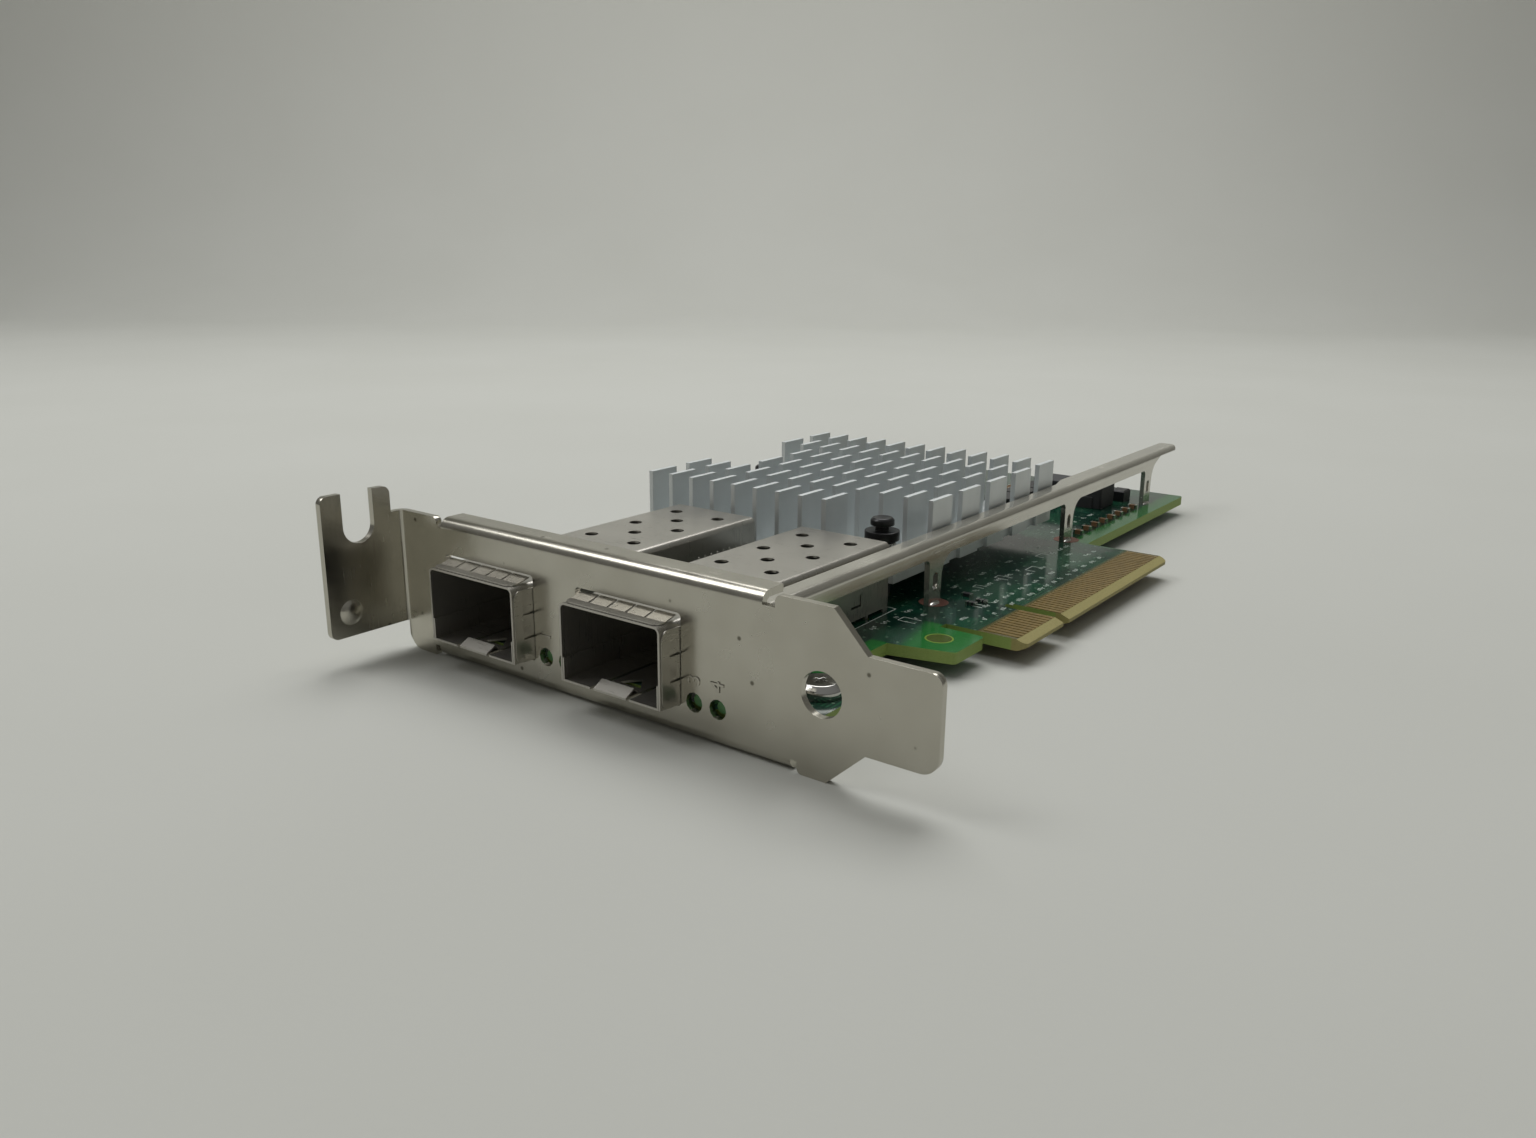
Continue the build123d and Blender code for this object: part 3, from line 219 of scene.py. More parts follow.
def soft_box(name, place, target, size, power):
    """Square area lamp that faces a target; places and size in metres, power in watts."""
    lamp = bpy.data.lights.new(name, "AREA")
    lamp.shape = "SQUARE"
    lamp.size = size
    lamp.energy = power
    holder = bpy.data.objects.new(name, lamp)
    bpy.context.scene.collection.objects.link(holder)
    aim = (Vector(target) - Vector(place)).to_track_quat("-Z", "Y")
    holder.matrix_world = Matrix.Translation(Vector(place)) @ aim.to_matrix().to_4x4()


soft_box("soft_box_above", place=(-0.2, 0.3, 0.76), target=(0, 0, 0), size=0.6, power=4.3)
soft_box("soft_box_front", place=(-0.47, -0.28, 0.62), target=(-0.03, -0.05, 0), size=0.34,
         power=1.3)

# Bracket: one sheet of cold-rolled steel, pierced and folded on a press, deburred and plated with
# nickel. Two screws hold it to the board. All places on the card are measured from its outer faces.
tab_face = -68.0
bracket_face = -55.4
root_body = "root"
bracket_easing = 0.18


def spot(x, y, z):
    """Place in mm: across from the tab's face, along from the bracket's face, up from the board."""
    return Vector((x + tab_face, y + bracket_face, z)) * MM


def add_piece(name, mesh, material):
    """Makes a piece of a mesh, with its material, which rides on the card."""
    data = bpy.data.meshes.new(name)
    mesh.to_mesh(data)
    mesh.free()
    piece = bpy.data.objects.new(name, data)
    bpy.context.scene.collection.objects.link(piece)
    data.materials.append(material)
    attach(piece, root_body)
    return piece


def eased_copy(name, node, material, ease):
    """Copy of a CAD node with its sharp edges eased by a width in mm, which stands for the node."""
    crease = math.radians(28)
    same_plane = math.radians(0.5)
    same_place = 0.002 * MM
    mesh = bmesh.new()
    mesh.from_mesh(nodes[node].data)
    bmesh.ops.remove_doubles(mesh, verts=mesh.verts, dist=same_place)
    bmesh.ops.dissolve_limit(mesh, angle_limit=same_plane, verts=mesh.verts, edges=mesh.edges)
    sharp = [edge for edge in mesh.edges if edge.is_manifold and edge.calc_face_angle(0) > crease]
    bmesh.ops.bevel(mesh, geom=sharp, offset=ease * MM, offset_type="OFFSET", affect="EDGES",
                    segments=2, profile=0.5, material=-1, clamp_overlap=True)
    for face in mesh.faces:
        face.smooth = True
    piece = add_piece(name, mesh, material)
    piece.data.set_sharp_from_angle(angle=crease)
    shading = piece.modifiers.new("even_shading", "WEIGHTED_NORMAL")
    shading.keep_sharp = True
    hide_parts(node)
    return piece


# Metal from a plating or pickling bath is a soft mirror. The bath leaves clouds of tint some 6 mm
# wide, a little duller, and an orange-peel skin. The rolling lines of real sheet are a few
# hundredths of a millimetre apart, too fine for the render, so they are drawn coarser.
bath_cloud = 6.25
bath_peel = 0.556
bath_peel_depth = 0.02


def bath_finish(name, dark, light, smooth, dull, line_sizes, skin, shine=1.0):
    """Plated or pickled metal between two tints and two roughnesses, with lines of sizes in mm.

    Skin is how strongly its peel shows, and shine how much of a metal it is to the shader."""
    material, tree, shader, surface = start_material(name, light, shine, smooth)
    tint, cloud = mottled(tree, surface, (bath_cloud,) * 3, dark, light)
    tree.links.new(tint, shader.inputs["Base Color"])
    drawn_out = add(tree, "ShaderNodeMapping", {"Scale": per_metre(*line_sizes)},
                    {"Vector": surface})
    rolled = add(tree, "ShaderNodeTexNoise", {"Scale": 1.0, "Detail": 3.0},
                 {"Vector": drawn_out.outputs["Vector"]})
    dulled = add(tree, "ShaderNodeMath", {"operation": "MULTIPLY_ADD", 1: 0.5},
                 {0: cloud, 2: rolled.outputs["Fac"]})
    rough = add(tree, "ShaderNodeMapRange",
                {"From Min": 0.45, "From Max": 1.1, "To Min": smooth, "To Max": dull},
                {"Value": dulled.outputs["Value"]})
    tree.links.new(rough.outputs["Result"], shader.inputs["Roughness"])
    peel = add(tree, "ShaderNodeTexNoise", {"Scale": 1 / (bath_peel * MM), "Detail": 2.0},
               {"Vector": surface})
    bump = add(tree, "ShaderNodeBump", {"Strength": skin, "Distance": bath_peel_depth * MM},
               {"Height": peel.outputs["Fac"]})
    tree.links.new(bump.outputs["Normal"], shader.inputs["Normal"])
    return material


# Nickel plate on steel is warm grey and bright. Its lines run upwards on the folded tab and don't
# show on the face. Small dark pits, some 4 mm apart, show where the plating missed.
up_the_tab = (4.0, 0.333, 4.0)
pit_spacing = 3.57
pit_core = 0.214
pit_rim = 0.357
nickel = bath_finish("nickel_plated_steel", "AFAB9F", "C9C6BB", smooth=0.18, dull=0.3,
                     line_sizes=up_the_tab, skin=0.3)
tree = nickel.node_tree
shader = tree.nodes["Principled BSDF"]
coordinates = add(tree, "ShaderNodeTexCoord")
cells = add(tree, "ShaderNodeTexVoronoi", {"Scale": 1 / (pit_spacing * MM)},
            {"Vector": coordinates.outputs["Object"]})
pits = add(tree, "ShaderNodeMapRange",
           {"From Min": pit_core / pit_spacing, "From Max": pit_rim / pit_spacing,
            "To Min": 1.0, "To Max": 0.0},
           {"Value": cells.outputs["Distance"]})
plate_tint = shader.inputs["Base Color"].links[0].from_socket
pitted = add(tree, "ShaderNodeMix", {"data_type": "RGBA", mix_over: linear("716D62")},
             {mix_amount: pits.outputs["Result"], mix_under: plate_tint})
tree.links.new(pitted.outputs[mix_result], shader.inputs["Base Color"])
eased_copy("deburred_bracket", "bracket", nickel, bracket_easing)

# Lamp numbers: a plain figure from 1 to 4 over each lamp hole, pressed out of the bracket's sheet
# and plated with it. They read upwards. Half of a figure's lift is its rounded edge.
figure_size = 2.5
figure_lift = 0.13
figure_foot = 2.8
figure_places = {"1": 27.6, "2": 30.9, "3": 50.4, "4": 53.7}
figure_seam = 0.001
upright = Matrix.Rotation(math.radians(90), 4, "X") @ Matrix.Rotation(math.radians(90), 4, "Z")
for figure, across in figure_places.items():
    name = f"lamp_number_{figure}"
    letters = bpy.data.curves.new(name, "FONT")
    letters.body = figure
    letters.size = figure_size * MM
    letters.extrude = figure_lift * MM / 2
    letters.bevel_depth = figure_lift * MM / 2
    letters.offset = -figure_lift * MM / 4
    holder = bpy.data.objects.new(name, letters)
    bpy.context.scene.collection.objects.link(holder)
    evaluated = holder.evaluated_get(bpy.context.evaluated_depsgraph_get())
    drawn = bpy.data.meshes.new_from_object(evaluated)
    bpy.data.objects.remove(holder)
    drawn.transform(Matrix.Translation(spot(across, 0, figure_foot)) @ upright)
    mesh = bmesh.new()
    mesh.from_mesh(drawn)
    bmesh.ops.remove_doubles(mesh, verts=mesh.verts, dist=figure_seam * MM)
    add_piece(name, mesh, nickel)

# Cages: covers, floors and the sprung collars on their noses, stamped and folded from thin
# nickel-silver sheet and left bare. Pins soldered in the board hold them.
across_the_card = (3.33, 0.111, 3.33)
along_the_fingers = (0.167, 2.5, 0.167)

# Pickled nickel silver is greyer and duller than the bracket's plate, and its skin is smoother.
# The covers were rolled across the card, and the springs along their fingers.
cage_metal = bath_finish("bare_nickel_silver", "ABA8A0", "BEBBB3", smooth=0.26, dull=0.34,
                         line_sizes=across_the_card, skin=0.08, shine=0.85)
spring_metal = bath_finish("spring_nickel_silver", "B0ADA5", "C6C3BB", smooth=0.26, dull=0.34,
                           line_sizes=along_the_fingers, skin=0.08, shine=0.9)


def dress(name, material):
    """Gives a CAD node its material."""
    mesh = nodes[name].data
    mesh.materials.clear()
    mesh.materials.append(material)


for number in (1, 2):
    dress(f"port_{number}_cage", cage_metal)
    dress(f"port_{number}_floor", cage_metal)
    dress(f"port_{number}_collar", spring_metal)

# Pressed dots: a short row of dimples in the inner wall of the first cage, near its rear end.
# The press pushes them outwards from the same sheet, as flat domes.
dot_wall = 24.55
dot_height = 6.0
dot_start = 30.5
dot_spacing = 1.35
dot_count = 9
dot_radius = 0.24
dot_flattening = Matrix.Diagonal((0.5, 1, 1, 1))
dots = bmesh.new()
for number in range(dot_count):
    middle = spot(dot_wall, dot_start + dot_spacing * number, dot_height)
    bmesh.ops.create_uvsphere(dots, u_segments=12, v_segments=8, radius=dot_radius * MM,
                              matrix=Matrix.Translation(middle) @ dot_flattening)
for face in dots.faces:
    face.smooth = True
add_piece("pressed_dots", dots, cage_metal)

# Connectors: black nylon housings at the back of the cages, moulded in one shot, with stamped
# contacts pushed into them from behind.
speckle = 0.167
speckle_depth = 0.02
contact_wear = (0.5, 2.5, 0.5)

# Glass-filled nylon comes matt from the mould, with a speckle of fibre ends. They are far finer on
# the real part, and are drawn a sixth of a millimetre wide so that they show.
black_moulding, tree, shader, surface = start_material("glass_filled_nylon", "161618", 0.0, 0.45)
tint, speck = mottled(tree, surface, (speckle,) * 3, "101012", "222225")
tree.links.new(tint, shader.inputs["Base Color"])
bump = add(tree, "ShaderNodeBump", {"Strength": 0.4, "Distance": speckle_depth * MM},
           {"Height": speck})
tree.links.new(bump.outputs["Normal"], shader.inputs["Normal"])
for number in (1, 2):
    dress(f"port_{number}_connector", black_moulding)

# Hard gold plate over nickel is deep yellow and satin, and darker and duller in worn streaks that
# run along the card.
gold, tree, shader, surface = start_material("worn_gold_plate", "9C8150", 1.0, 0.32)
tint, wear = mottled(tree, surface, contact_wear, "86703F", "B09560")
tree.links.new(tint, shader.inputs["Base Color"])
rough = add(tree, "ShaderNodeMapRange", {"To Min": 0.24, "To Max": 0.42}, {"Value": wear})
tree.links.new(rough.outputs["Result"], shader.inputs["Roughness"])
dress("connector_contacts", gold)

# Board: woven glass-fibre laminate with copper layers, pressed, etched and cut out with a router.
# A green solder mask is cured on both faces, and gold contacts are plated along one edge.
mask_over_laminate = "164232"
mask_over_copper = "103328"
mask_over_track = "20563B"
mask_without_copper = "1F6F2F"
via_pad = "5F7A66"
# Painted shade of a hole, inside the rim of the round mark.
mark_disc = "4A5A22"
mark_rim = "7F9440"
bare_laminate = "5A5329"
copper_outline = 2.86
copper_level = 0.43
copper_step = 0.03
track_spacing = 0.5712
track_level = 0.62
track_field_size = 11.1
track_field_level = 0.5
via_spacing = 2.38
via_radius = 0.202
glass_yarn = (0.333, 0.333, 0.111)

# At a scale of 1, a wave texture draws this many waves per unit.
waves_per_unit = 20 / (2 * math.pi)

# Solder mask is a glossy green lacquer, deep over copper and brighter over laminate, with a small
# step at each copper edge. The copper, tracks and vias under it are generic and follow no circuit.
mask, tree, shader, surface = start_material("green_solder_mask", "0E4030", 0.0, 0.14)
normal = add(tree, "ShaderNodeTexCoord").outputs["Normal"]
measured = add(tree, "ShaderNodeMapping",
               {"Location": (-tab_face, -bracket_face, 0), "Scale": per_metre(1, 1, 1)},
               {"Vector": surface}).outputs["Vector"]
place = add(tree, "ShaderNodeSeparateXYZ", None, {"Vector": measured})
across, along = place.outputs["X"], place.outputs["Y"]


def inside(tree, *limits):
    """1 where each value lies between its low and high limit, else 0; None leaves an end open."""
    amount = None
    for value, low, high in limits:
        for operation, limit in (("GREATER_THAN", low), ("LESS_THAN", high)):
            if limit is None:
                continue
            met = add(tree, "ShaderNodeMath", {"operation": operation, 1: limit}, {0: value})
            if amount is None:
                amount = met.outputs["Value"]
            else:
                amount = add(tree, "ShaderNodeMath", {"operation": "MULTIPLY"},
                             {0: amount, 1: met.outputs["Value"]}).outputs["Value"]
    return amount


# Areas of copper, and tracks that show only in some fields of the board. Real tracks lie closer
# together, and are drawn half a millimetre apart so that they show. A size without end draws
# copper and fields the same all through the board's thickness.
outlines = add(tree, "ShaderNodeMapping",
               {"Scale": per_metre(copper_outline, copper_outline, math.inf)},
               {"Vector": surface})
copper_shape = add(tree, "ShaderNodeTexNoise", {"Scale": 1.0, "Detail": 1.5},
                   {"Vector": outlines.outputs["Vector"]})
pour = inside(tree, (copper_shape.outputs["Fac"], copper_level, None))
fields = add(tree, "ShaderNodeMapping",
             {"Scale": per_metre(track_field_size, track_field_size, math.inf)},
             {"Vector": surface})
field_shape = add(tree, "ShaderNodeTexNoise", {"Scale": 1.0, "Detail": 0.0},
                  {"Vector": fields.outputs["Vector"]})
waves = add(tree, "ShaderNodeTexWave",
            {"Scale": 1 / (track_spacing * waves_per_unit), "Distortion": 3.0, "Detail": 0.0,
             "Detail Scale": 0.4},
            {"Vector": measured})
tracks = inside(tree, (waves.outputs["Fac"], track_level, None),
                (field_shape.outputs["Fac"], track_field_level, None))
via_cells = add(tree, "ShaderNodeTexVoronoi",
                {"voronoi_dimensions": "2D", "Scale": 1 / via_spacing, "Randomness": 0.9},
                {"Vector": measured})
vias = inside(tree, (via_cells.outputs["Distance"], None, via_radius / via_spacing))

# The ear beside the contacts has no copper past a slanted line. A round mark lies on it, and its
# middle is painted dark as painted shade of a hole.
ear_slant = 0.211
ear_fade = (62.3, 63.9)
ear_along = (20.0, 42.2)
mark_middle = (58.8, 37.0, 0.0)
disc_radius, rim_radius = 1.62, 1.85
slanted = add(tree, "ShaderNodeMath", {"operation": "MULTIPLY_ADD", 1: ear_slant},
              {0: along, 2: across})
ear_start = add(tree, "ShaderNodeMapRange",
                {"From Min": ear_fade[0], "From Max": ear_fade[1]},
                {"Value": slanted.outputs["Value"]})
ear = add(tree, "ShaderNodeMath", {"operation": "MULTIPLY"},
          {0: ear_start.outputs["Result"], 1: inside(tree, (along, *ear_along))}).outputs["Value"]
from_mark = add(tree, "ShaderNodeVectorMath", {"operation": "DISTANCE", 1: mark_middle},
                {0: measured}).outputs["Value"]
# Painted shade: the disc inside the mark's rim is painted dark, standing for the shade in a hole.
disc = inside(tree, (from_mark, None, disc_radius))
rim = inside(tree, (from_mark, disc_radius, rim_radius))

# Two strips have no copper, one past the contacts and one before the ear, and the zone of the
# contacts has no mask.
rear_strip_from = (51.6, 94.9)
front_strip_across, front_strip_along = (52.2, 55.5), (17.0, 31.5)
contacts_from, contacts_along = 61.2, (42.0, 99.0)
rear_strip = inside(tree, (across, rear_strip_from[0], None), (along, rear_strip_from[1], None))
front_strip = inside(tree, (across, *front_strip_across), (along, *front_strip_along))
contact_zone = inside(tree, (across, contacts_from, None), (along, *contacts_along))
skin = add(tree, "ShaderNodeMix",
           {"data_type": "RGBA", mix_under: linear(mask_over_laminate),
            mix_over: linear(mask_over_copper)},
           {mix_amount: pour}).outputs[mix_result]
layers = (
    (tracks, mask_over_track), (vias, via_pad), (ear, mask_without_copper),
    (rear_strip, mask_without_copper), (front_strip, mask_without_copper),
    (disc, mark_disc), (rim, mark_rim), (contact_zone, bare_laminate))
for amount, colour in layers:
    skin = add(tree, "ShaderNodeMix", {"data_type": "RGBA", mix_over: linear(colour)},
               {mix_amount: amount, mix_under: skin}).outputs[mix_result]

# Sawn laminate is dull and yellowish green and shows its yarns, drawn coarser than the real ones.
# Along the contacts it is chamfered and browner.
facing_up = 0.97
chamfer_from = 66.0
tilt = add(tree, "ShaderNodeSeparateXYZ", None, {"Vector": normal})
upper = inside(tree, (tilt.outputs["Z"], facing_up, None))
lower = inside(tree, (tilt.outputs["Z"], None, -facing_up))
faces = add(tree, "ShaderNodeMath", {"operation": "MAXIMUM"}, {0: upper, 1: lower})
sawn = add(tree, "ShaderNodeMath", {"operation": "SUBTRACT", 0: 1.0},
           {1: faces.outputs["Value"]}).outputs["Value"]
chamfer = add(tree, "ShaderNodeMath", {"operation": "MULTIPLY"},
              {0: sawn, 1: inside(tree, (across, chamfer_from, None))}).outputs["Value"]
for amount, dark, light in ((sawn, "77903F", "9AAE62"), (chamfer, "8C834A", "A79E66")):
    edge_tint, _ = mottled(tree, surface, glass_yarn, dark, light)
    skin = add(tree, "ShaderNodeMix", {"data_type": "RGBA"},
               {mix_amount: amount, mix_under: skin, mix_over: edge_tint}).outputs[mix_result]
tree.links.new(skin, shader.inputs["Base Color"])
rough = add(tree, "ShaderNodeMapRange", {"To Min": 0.13, "To Max": 0.6}, {"Value": sawn})
tree.links.new(rough.outputs["Result"], shader.inputs["Roughness"])
step = add(tree, "ShaderNodeMath", {"operation": "ADD"}, {0: pour, 1: tracks})
bump = add(tree, "ShaderNodeBump", {"Strength": 0.5, "Distance": copper_step * MM},
           {"Height": step.outputs["Value"]})
tree.links.new(bump.outputs["Normal"], shader.inputs["Normal"])
dress("circuit_board", mask)
dress("edge_contacts", gold)

# White ink: outlines and reference strokes, screen-printed on the board and baked. The strokes
# spell nothing. Each is a film of epoxy ink a few hundredths of a millimetre thick.
ink_film = 0.02
ink_width = 0.13
ink_patch = 0.2

# Epoxy ink is matt and off-white, and greener in small patches where the mask shows through it.
white_ink, tree, shader, surface = start_material("white_epoxy_ink", "C9D2C9", 0.0, 0.6)
tint, _ = mottled(tree, surface, (ink_patch,) * 3, "B4C0B5", "DCE2DB")
tree.links.new(tint, shader.inputs["Base Color"])
ink = bmesh.new()


def stroke(start, end):
    """One straight ink stroke between two places on the board."""
    first, last = spot(*start, 0), spot(*end, 0)
    run = last - first
    turn = Matrix.Rotation(math.atan2(run.y, run.x), 4, "Z")
    size = Matrix.Diagonal((run.length + ink_width * MM, ink_width * MM, ink_film * MM, 1))
    middle = (first + last) / 2 + Vector((0, 0, ink_film * MM / 2))
    bmesh.ops.create_cube(ink, size=1.0, matrix=Matrix.Translation(middle) @ turn @ size)


stroke((48.4, 33.5), (48.1, 44.2))
stroke((48.1, 44.2), (46.1, 44.3))

# Labels stand in rows along the card: across, first and last place, and the spacing. A label is a
# few ticks across its row, some of them with a hook at one end.
label_share = 0.72
fewest_ticks, most_ticks = 2, 4
tick_spacing = 0.42
tick_half = 0.22
tick_drift = 0.15
hook_share = 0.6
hook_length = 0.28
spacing_spread = (0.8, 1.2)
ink_seed = 11
marks = random.Random(ink_seed)
label_rows = (
    (52.6, 56.0, 92.0, 3.1), (54.9, 57.5, 93.0, 3.7), (57.3, 45.5, 92.0, 2.7),
    (59.6, 44.5, 93.0, 2.9), (49.3, 58.0, 90.0, 4.1), (46.6, 98.5, 118.0, 3.3),
    (52.4, 35.0, 46.0, 2.2), (50.0, 28.0, 46.0, 3.6), (32.4, 108.0, 120.0, 3.0),
    (20.6, 118.0, 138.0, 5.2), (40.2, 135.5, 142.0, 2.4), (10.5, 100.0, 140.0, 7.0))
for row, first, last, spacing in label_rows:
    start = first
    while start < last:
        if marks.random() < label_share:
            ticks = marks.randint(fewest_ticks, most_ticks)
            for number in range(ticks):
                x = row + marks.uniform(-tick_drift, tick_drift)
                y = start + number * tick_spacing
                stroke((x - tick_half, y), (x + tick_half, y))
                if marks.random() < hook_share:
                    side = marks.choice((-tick_half, tick_half))
                    stroke((x + side, y), (x + side, y + hook_length))
        start += spacing * marks.uniform(*spacing_spread)

# Component outlines: place across and along, width and length; open on the far side.
component_outlines = (
    (51.3, 60.5, 1.7, 1.1), (51.6, 66.8, 2.2, 1.4), (53.4, 73.6, 1.6, 2.6),
    (51.2, 82.0, 1.4, 2.2), (55.6, 52.0, 1.5, 1.1), (50.8, 40.2, 2.6, 1.6))
for x, y, width, length in component_outlines:
    stroke((x, y), (x + width, y))
    stroke((x, y + length), (x + width, y + length))
    stroke((x, y), (x, y + length))
add_piece("printed_ink", ink, white_ink)

# Copper rings: etched from the board's own copper foil round the rail's first two legs, and left
# free of mask.
leg_x = 50.6
leg_places = (49.65, 95.05, 132.2)
ringed_legs = leg_places[:2]
ring_radius = 2.1
ring_shift = 0.5
ring_film = 0.03
tarnish_patch = 0.667

# Bare copper is reddish brown and dulled by air, with darker patches of tarnish.
copper, tree, shader, surface = start_material("bare_copper", "8A5F52", 0.7, 0.45)
tint, _ = mottled(tree, surface, (tarnish_patch,) * 3, "6E4A40", "98695A")
tree.links.new(tint, shader.inputs["Base Color"])
rings = bmesh.new()
for leg in ringed_legs:
    middle = spot(leg_x, leg + ring_shift, ring_film / 2)
    bmesh.ops.create_cone(rings, cap_ends=True, segments=40, radius1=ring_radius * MM,
                          radius2=ring_radius * MM, depth=ring_film * MM,
                          matrix=Matrix.Translation(middle))
add_piece("copper_rings", rings, copper)

# Solder: tin joints at the rail's legs and the cage pins, made in a solder wave. The tin rises up
# each leg, closes the foot of its needle eye and hangs as beads on the underside.
board_underside = -1.57
fillet_foot, fillet_top = 1.3, 0.95
fillet_depth, fillet_middle = 0.3, 0.16
fillet_shape = Matrix.Diagonal((0.75, 1.15, 1, 1))
eye_plug_radius, eye_plug_height = 0.6, 2.1
eye_plug_shape = Matrix.Diagonal((0.8, 1, 0.7, 1))
bead_radius = 1.5
bead_shape = Matrix.Diagonal((0.8, 1.1, 0.4, 1))
cage_walls = (9.675, 24.425, 32.525, 47.275)
cage_pin_places = (18.05, 27.05, 37.85)
pin_tip, pin_foot, pin_length = 0.25, 0.75, 0.4
joint_crease = math.radians(50)
frost_patch = 0.833

# Tin solder freezes with a bright mirror skin that is frosted in patches.
tin, tree, shader, surface = start_material("tin_solder", "C9C8C2", 1.0, 0.16)
tint, frost = mottled(tree, surface, (frost_patch,) * 3, "A9A8A2", "D6D5CF")
tree.links.new(tint, shader.inputs["Base Color"])
rough = add(tree, "ShaderNodeMapRange", {"To Min": 0.1, "To Max": 0.26}, {"Value": frost})
tree.links.new(rough.outputs["Result"], shader.inputs["Roughness"])
solder = bmesh.new()
for leg in leg_places:
    fillet = Matrix.Translation(spot(leg_x, leg, fillet_middle)) @ fillet_shape
    bmesh.ops.create_cone(solder, cap_ends=True, segments=32, radius1=fillet_foot * MM,
                          radius2=fillet_top * MM, depth=fillet_depth * MM, matrix=fillet)
    eye_plug = Matrix.Translation(spot(leg_x, leg, eye_plug_height)) @ eye_plug_shape
    bmesh.ops.create_uvsphere(solder, u_segments=20, v_segments=12, radius=eye_plug_radius * MM,
                              matrix=eye_plug)
    bead = Matrix.Translation(spot(leg_x, leg, board_underside)) @ bead_shape
    bmesh.ops.create_uvsphere(solder, u_segments=24, v_segments=10, radius=bead_radius * MM,
                              matrix=bead)
for wall in cage_walls:
    for pin in cage_pin_places:
        middle = spot(wall, pin, board_underside - pin_length / 2)
        bmesh.ops.create_cone(solder, cap_ends=True, segments=20, radius1=pin_tip * MM,
                              radius2=pin_foot * MM, depth=pin_length * MM,
                              matrix=Matrix.Translation(middle))
for face in solder.faces:
    face.smooth = True
piece = add_piece("solder_joints", solder, tin)
piece.data.set_sharp_from_angle(angle=joint_crease)

# Heatsink: extruded aluminium, cross-cut into short plate fins, deburred by tumbling and left bare.
# Two push pins press it on its chip.
heatsink_easing = 0.07
die_lines = (0.2, 12.5, 0.2)
die_line_depth = 0.02
handling_cloud = 5.0

# Bare extruded aluminium is pale and silky. The die leaves lines along the card, too fine to show,
# so they are drawn a fifth of a millimetre apart, and handling leaves faint clouds.
aluminium, tree, shader, surface = start_material("bare_extruded_aluminium", "D3D7D7", 0.55, 0.42)
tint, _ = mottled(tree, surface, (handling_cloud,) * 3, "CBD0D0", "DFE3E3")
tree.links.new(tint, shader.inputs["Base Color"])
drawn_out = add(tree, "ShaderNodeMapping", {"Scale": per_metre(*die_lines)}, {"Vector": surface})
lines = add(tree, "ShaderNodeTexNoise", {"Scale": 1.0, "Detail": 4.0},
            {"Vector": drawn_out.outputs["Vector"]}).outputs["Fac"]
rough = add(tree, "ShaderNodeMapRange", {"To Min": 0.36, "To Max": 0.52}, {"Value": lines})
tree.links.new(rough.outputs["Result"], shader.inputs["Roughness"])
bump = add(tree, "ShaderNodeBump", {"Strength": 0.25, "Distance": die_line_depth * MM},
           {"Height": lines})
tree.links.new(bump.outputs["Normal"], shader.inputs["Normal"])
eased_copy("tumbled_heatsink", "heatsink", aluminium, heatsink_easing)

# Stiffener rail: tinned steel strip, cut with its arches and needle-eye legs and folded, and
# soldered to the board by its three legs.
rail_easing = 0.1
along_the_rail = (0.286, 16.7, 0.286)

# Bright tin plate is a clear pale mirror, with drawing lines along the rail.
tinned = bath_finish("bright_tinned_steel", "C2BFB5", "D9D6CC", smooth=0.14, dull=0.3,
                     line_sizes=along_the_rail, skin=0.12, shine=0.82)
eased_copy("deburred_rail", "stiffener_rail", tinned, rail_easing)

# Screws: two steel pan heads, cold-headed from wire and plated with zinc, that hold the bracket to
# the board.
screw_easing = 0.25
zinc_grain = (1.0, 1.0, 1.0)

# Bright zinc plate is the clearest mirror on the card. It has no lines, only a millimetre's grain.
zinc = bath_finish("bright_zinc_plate", "A8A7A2", "D4D3CF", smooth=0.1, dull=0.22,
                   line_sizes=zinc_grain, skin=0.1)
eased_copy("pan_head_screws", "bracket_screws", zinc, screw_easing)

# Push pins: moulded nylon pins whose barbs snap through the board, with a coil spring each, wound
# from zinc-plated wire, that presses the heatsink on its chip.
pin_easing = 0.12
pin_places = ((42.58, 49.0), (6.28, 69.7))
coil_radius = 2.1
wire_radius = 0.25
coil_turns = 3
coil_low, coil_high = 5.05, 7.7
turn_steps = 28
scuff_patch = 0.833

# Unfilled black nylon has a soft gloss, duller in scuffed patches.
nylon, tree, shader, surface = start_material("black_nylon", "0D0D0F", 0.0, 0.3)
tint, scuff = mottled(tree, surface, (scuff_patch,) * 3, "08080A", "17171A")
tree.links.new(tint, shader.inputs["Base Color"])
rough = add(tree, "ShaderNodeMapRange", {"To Min": 0.24, "To Max": 0.4}, {"Value": scuff})
tree.links.new(rough.outputs["Result"], shader.inputs["Roughness"])
eased_copy("moulded_push_pins", "push_pins", nylon, pin_easing)
coils = bmesh.new()
steps = coil_turns * turn_steps
rise = (coil_high - coil_low) * MM / steps
for x, y in pin_places:
    centre = spot(x, y, coil_low)
    wire_start = Matrix.Translation(centre + Vector((coil_radius * MM, 0, 0)))
    section = bmesh.ops.create_circle(coils, cap_ends=True, segments=10, radius=wire_radius * MM,
                                      matrix=wire_start @ Matrix.Rotation(math.radians(90), 4, "X"))
    rim = {edge for vertex in section["verts"] for edge in vertex.link_edges}
    bmesh.ops.spin(coils, geom=section["verts"] + list(rim), cent=centre, axis=(0, 0, 1),
                   dvec=(0, 0, rise), angle=2 * math.pi * coil_turns, steps=steps,
                   use_merge=False, use_duplicate=False)
bmesh.ops.holes_fill(coils, edges=[edge for edge in coils.edges if edge.is_boundary])
bmesh.ops.recalc_face_normals(coils, faces=coils.faces)
for face in coils.faces:
    face.smooth = True
piece = add_piece("coil_springs", coils, zinc)
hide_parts("push_pin_springs")

# Inductors: ferrite powder pressed round a coil into square blocks, which are soldered near the
# board's rear.
inductor_easing = 0.2
pore_width = 0.25
pore_depth = 0.05

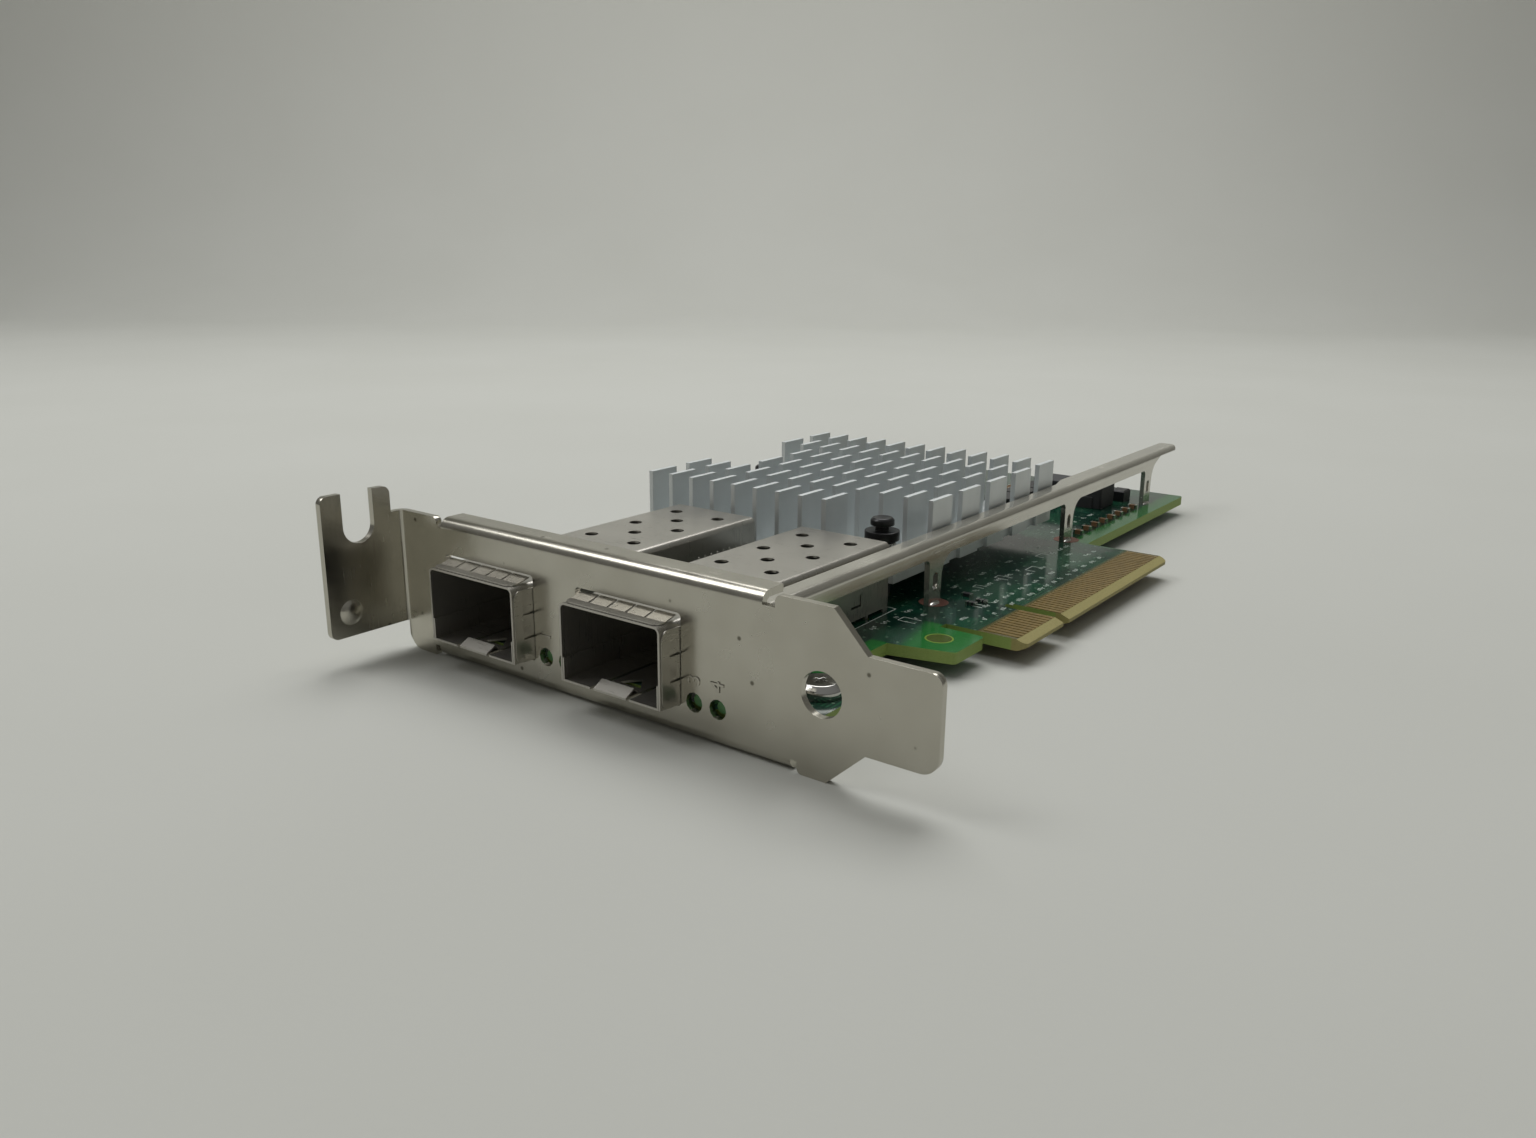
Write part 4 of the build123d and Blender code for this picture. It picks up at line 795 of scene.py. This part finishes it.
# Pressed ferrite is dark grey, matt and rough. Its pores are drawn a quarter of a millimetre wide
# so that they show.
ferrite, tree, shader, surface = start_material("pressed_ferrite", "2C2C2E", 0.0, 0.6)
tint, pores = mottled(tree, surface, (pore_width,) * 3, "1F1F21", "3B3B3D", 4.0)
tree.links.new(tint, shader.inputs["Base Color"])
bump = add(tree, "ShaderNodeBump", {"Strength": 0.5, "Distance": pore_depth * MM},
           {"Height": pores})
tree.links.new(bump.outputs["Normal"], shader.inputs["Normal"])
eased_copy("pressed_inductors", "power_inductors", ferrite, inductor_easing)

# Packages and pad: black epoxy cases moulded round their chips and soldered in an oven, and a soft
# silicone pad between the controller chip and the heatsink. The cases are as matt as the nylon.
pad_powder = 0.5
for name in ("controller_chip", "voltage_regulators", "flash_memory", "tantalum_capacitors"):
    dress(name, black_moulding)

# Silicone filled with ceramic powder is pale grey and dull. The powder is too fine to show, so its
# mottling is drawn half a millimetre wide.
pad, tree, shader, surface = start_material("silicone_pad", "9DA0A2", 0.0, 0.8)
tint, _ = mottled(tree, surface, (pad_powder,) * 3, "8E9193", "ABADAF")
tree.links.new(tint, shader.inputs["Base Color"])
dress("thermal_pad", pad)

# Ceramic capacitors and resistors: fired ceramic chips, tan or glazed black, whose two ends are
# dipped in tin and soldered to the board.
chip_half = 0.8
tip_length = 0.3
tip_margin = 0.01

# The fired grain is too fine to show, so it is drawn a quarter of a millimetre wide.
ceramic_grain = 0.25


def tipped(name, body_dark, body_light, centres):
    """Satin ceramic with bright tinned ends, on chips that lie across the card at some centres."""
    material, tree, shader, surface = start_material(name, body_light, 0.0, 0.5)
    across = add(tree, "ShaderNodeSeparateXYZ", None, {"Vector": surface}).outputs["X"]
    nearest = (chip_half - tip_length - tip_margin) * MM
    furthest = (chip_half + tip_margin) * MM
    ends = None
    for centre in centres:
        offset = add(tree, "ShaderNodeMath", {"operation": "SUBTRACT", 1: (centre + tab_face) * MM},
                     {0: across})
        distance = add(tree, "ShaderNodeMath", {"operation": "ABSOLUTE"},
                       {0: offset.outputs["Value"]})
        tips = inside(tree, (distance.outputs["Value"], nearest, furthest))
        ends = tips if ends is None else add(tree, "ShaderNodeMath", {"operation": "MAXIMUM"},
                                             {0: ends, 1: tips}).outputs["Value"]
    body, _ = mottled(tree, surface, (ceramic_grain,) * 3, body_dark, body_light)
    tint = add(tree, "ShaderNodeMix", {"data_type": "RGBA", mix_over: linear("C9C8C2")},
               {mix_amount: ends, mix_under: body})
    tree.links.new(tint.outputs[mix_result], shader.inputs["Base Color"])
    tree.links.new(ends, shader.inputs["Metallic"])
    rough = add(tree, "ShaderNodeMapRange", {"To Min": 0.5, "To Max": 0.2}, {"Value": ends})
    tree.links.new(rough.outputs["Result"], shader.inputs["Roughness"])
    return material


dress("ceramic_capacitors", tipped("tinned_tan_ceramic", "6E5236", "94714C", (50.6, 24.8)))
dress("chip_resistors", tipped("tinned_black_ceramic", "101012", "26262A",
                               (55.3, 55.9, 52.9, 24.8)))

# Crystal: a quartz blank in a ceramic tray, closed by a seam-welded lid of rolled alloy and
# soldered to the board.
lid_lines = (2.0, 0.25, 2.0)

# Rolled lid alloy is a pale satin metal with lines across the card.
lid, tree, shader, surface = start_material("rolled_crystal_lid", "C9C3B2", 1.0, 0.25)
tint, _ = mottled(tree, surface, lid_lines, "B5AF9F", "D5D0C0")
tree.links.new(tint, shader.inputs["Base Color"])
dress("crystal", lid)

# Port lamps: green epoxy bodies cast round their chips and soldered to the board, one behind each
# small hole of the bracket.
lens_depth = 1.0

# Cast epoxy is glossy and looks deep, so its green drifts from dark to pale over a millimetre.
lens, tree, shader, surface = start_material("green_clear_epoxy", "2F6A38", 0.0, 0.1)
tint, _ = mottled(tree, surface, (lens_depth,) * 3, "1D5A2A", "6FA568")
tree.links.new(tint, shader.inputs["Base Color"])
dress("status_lamps", lens)
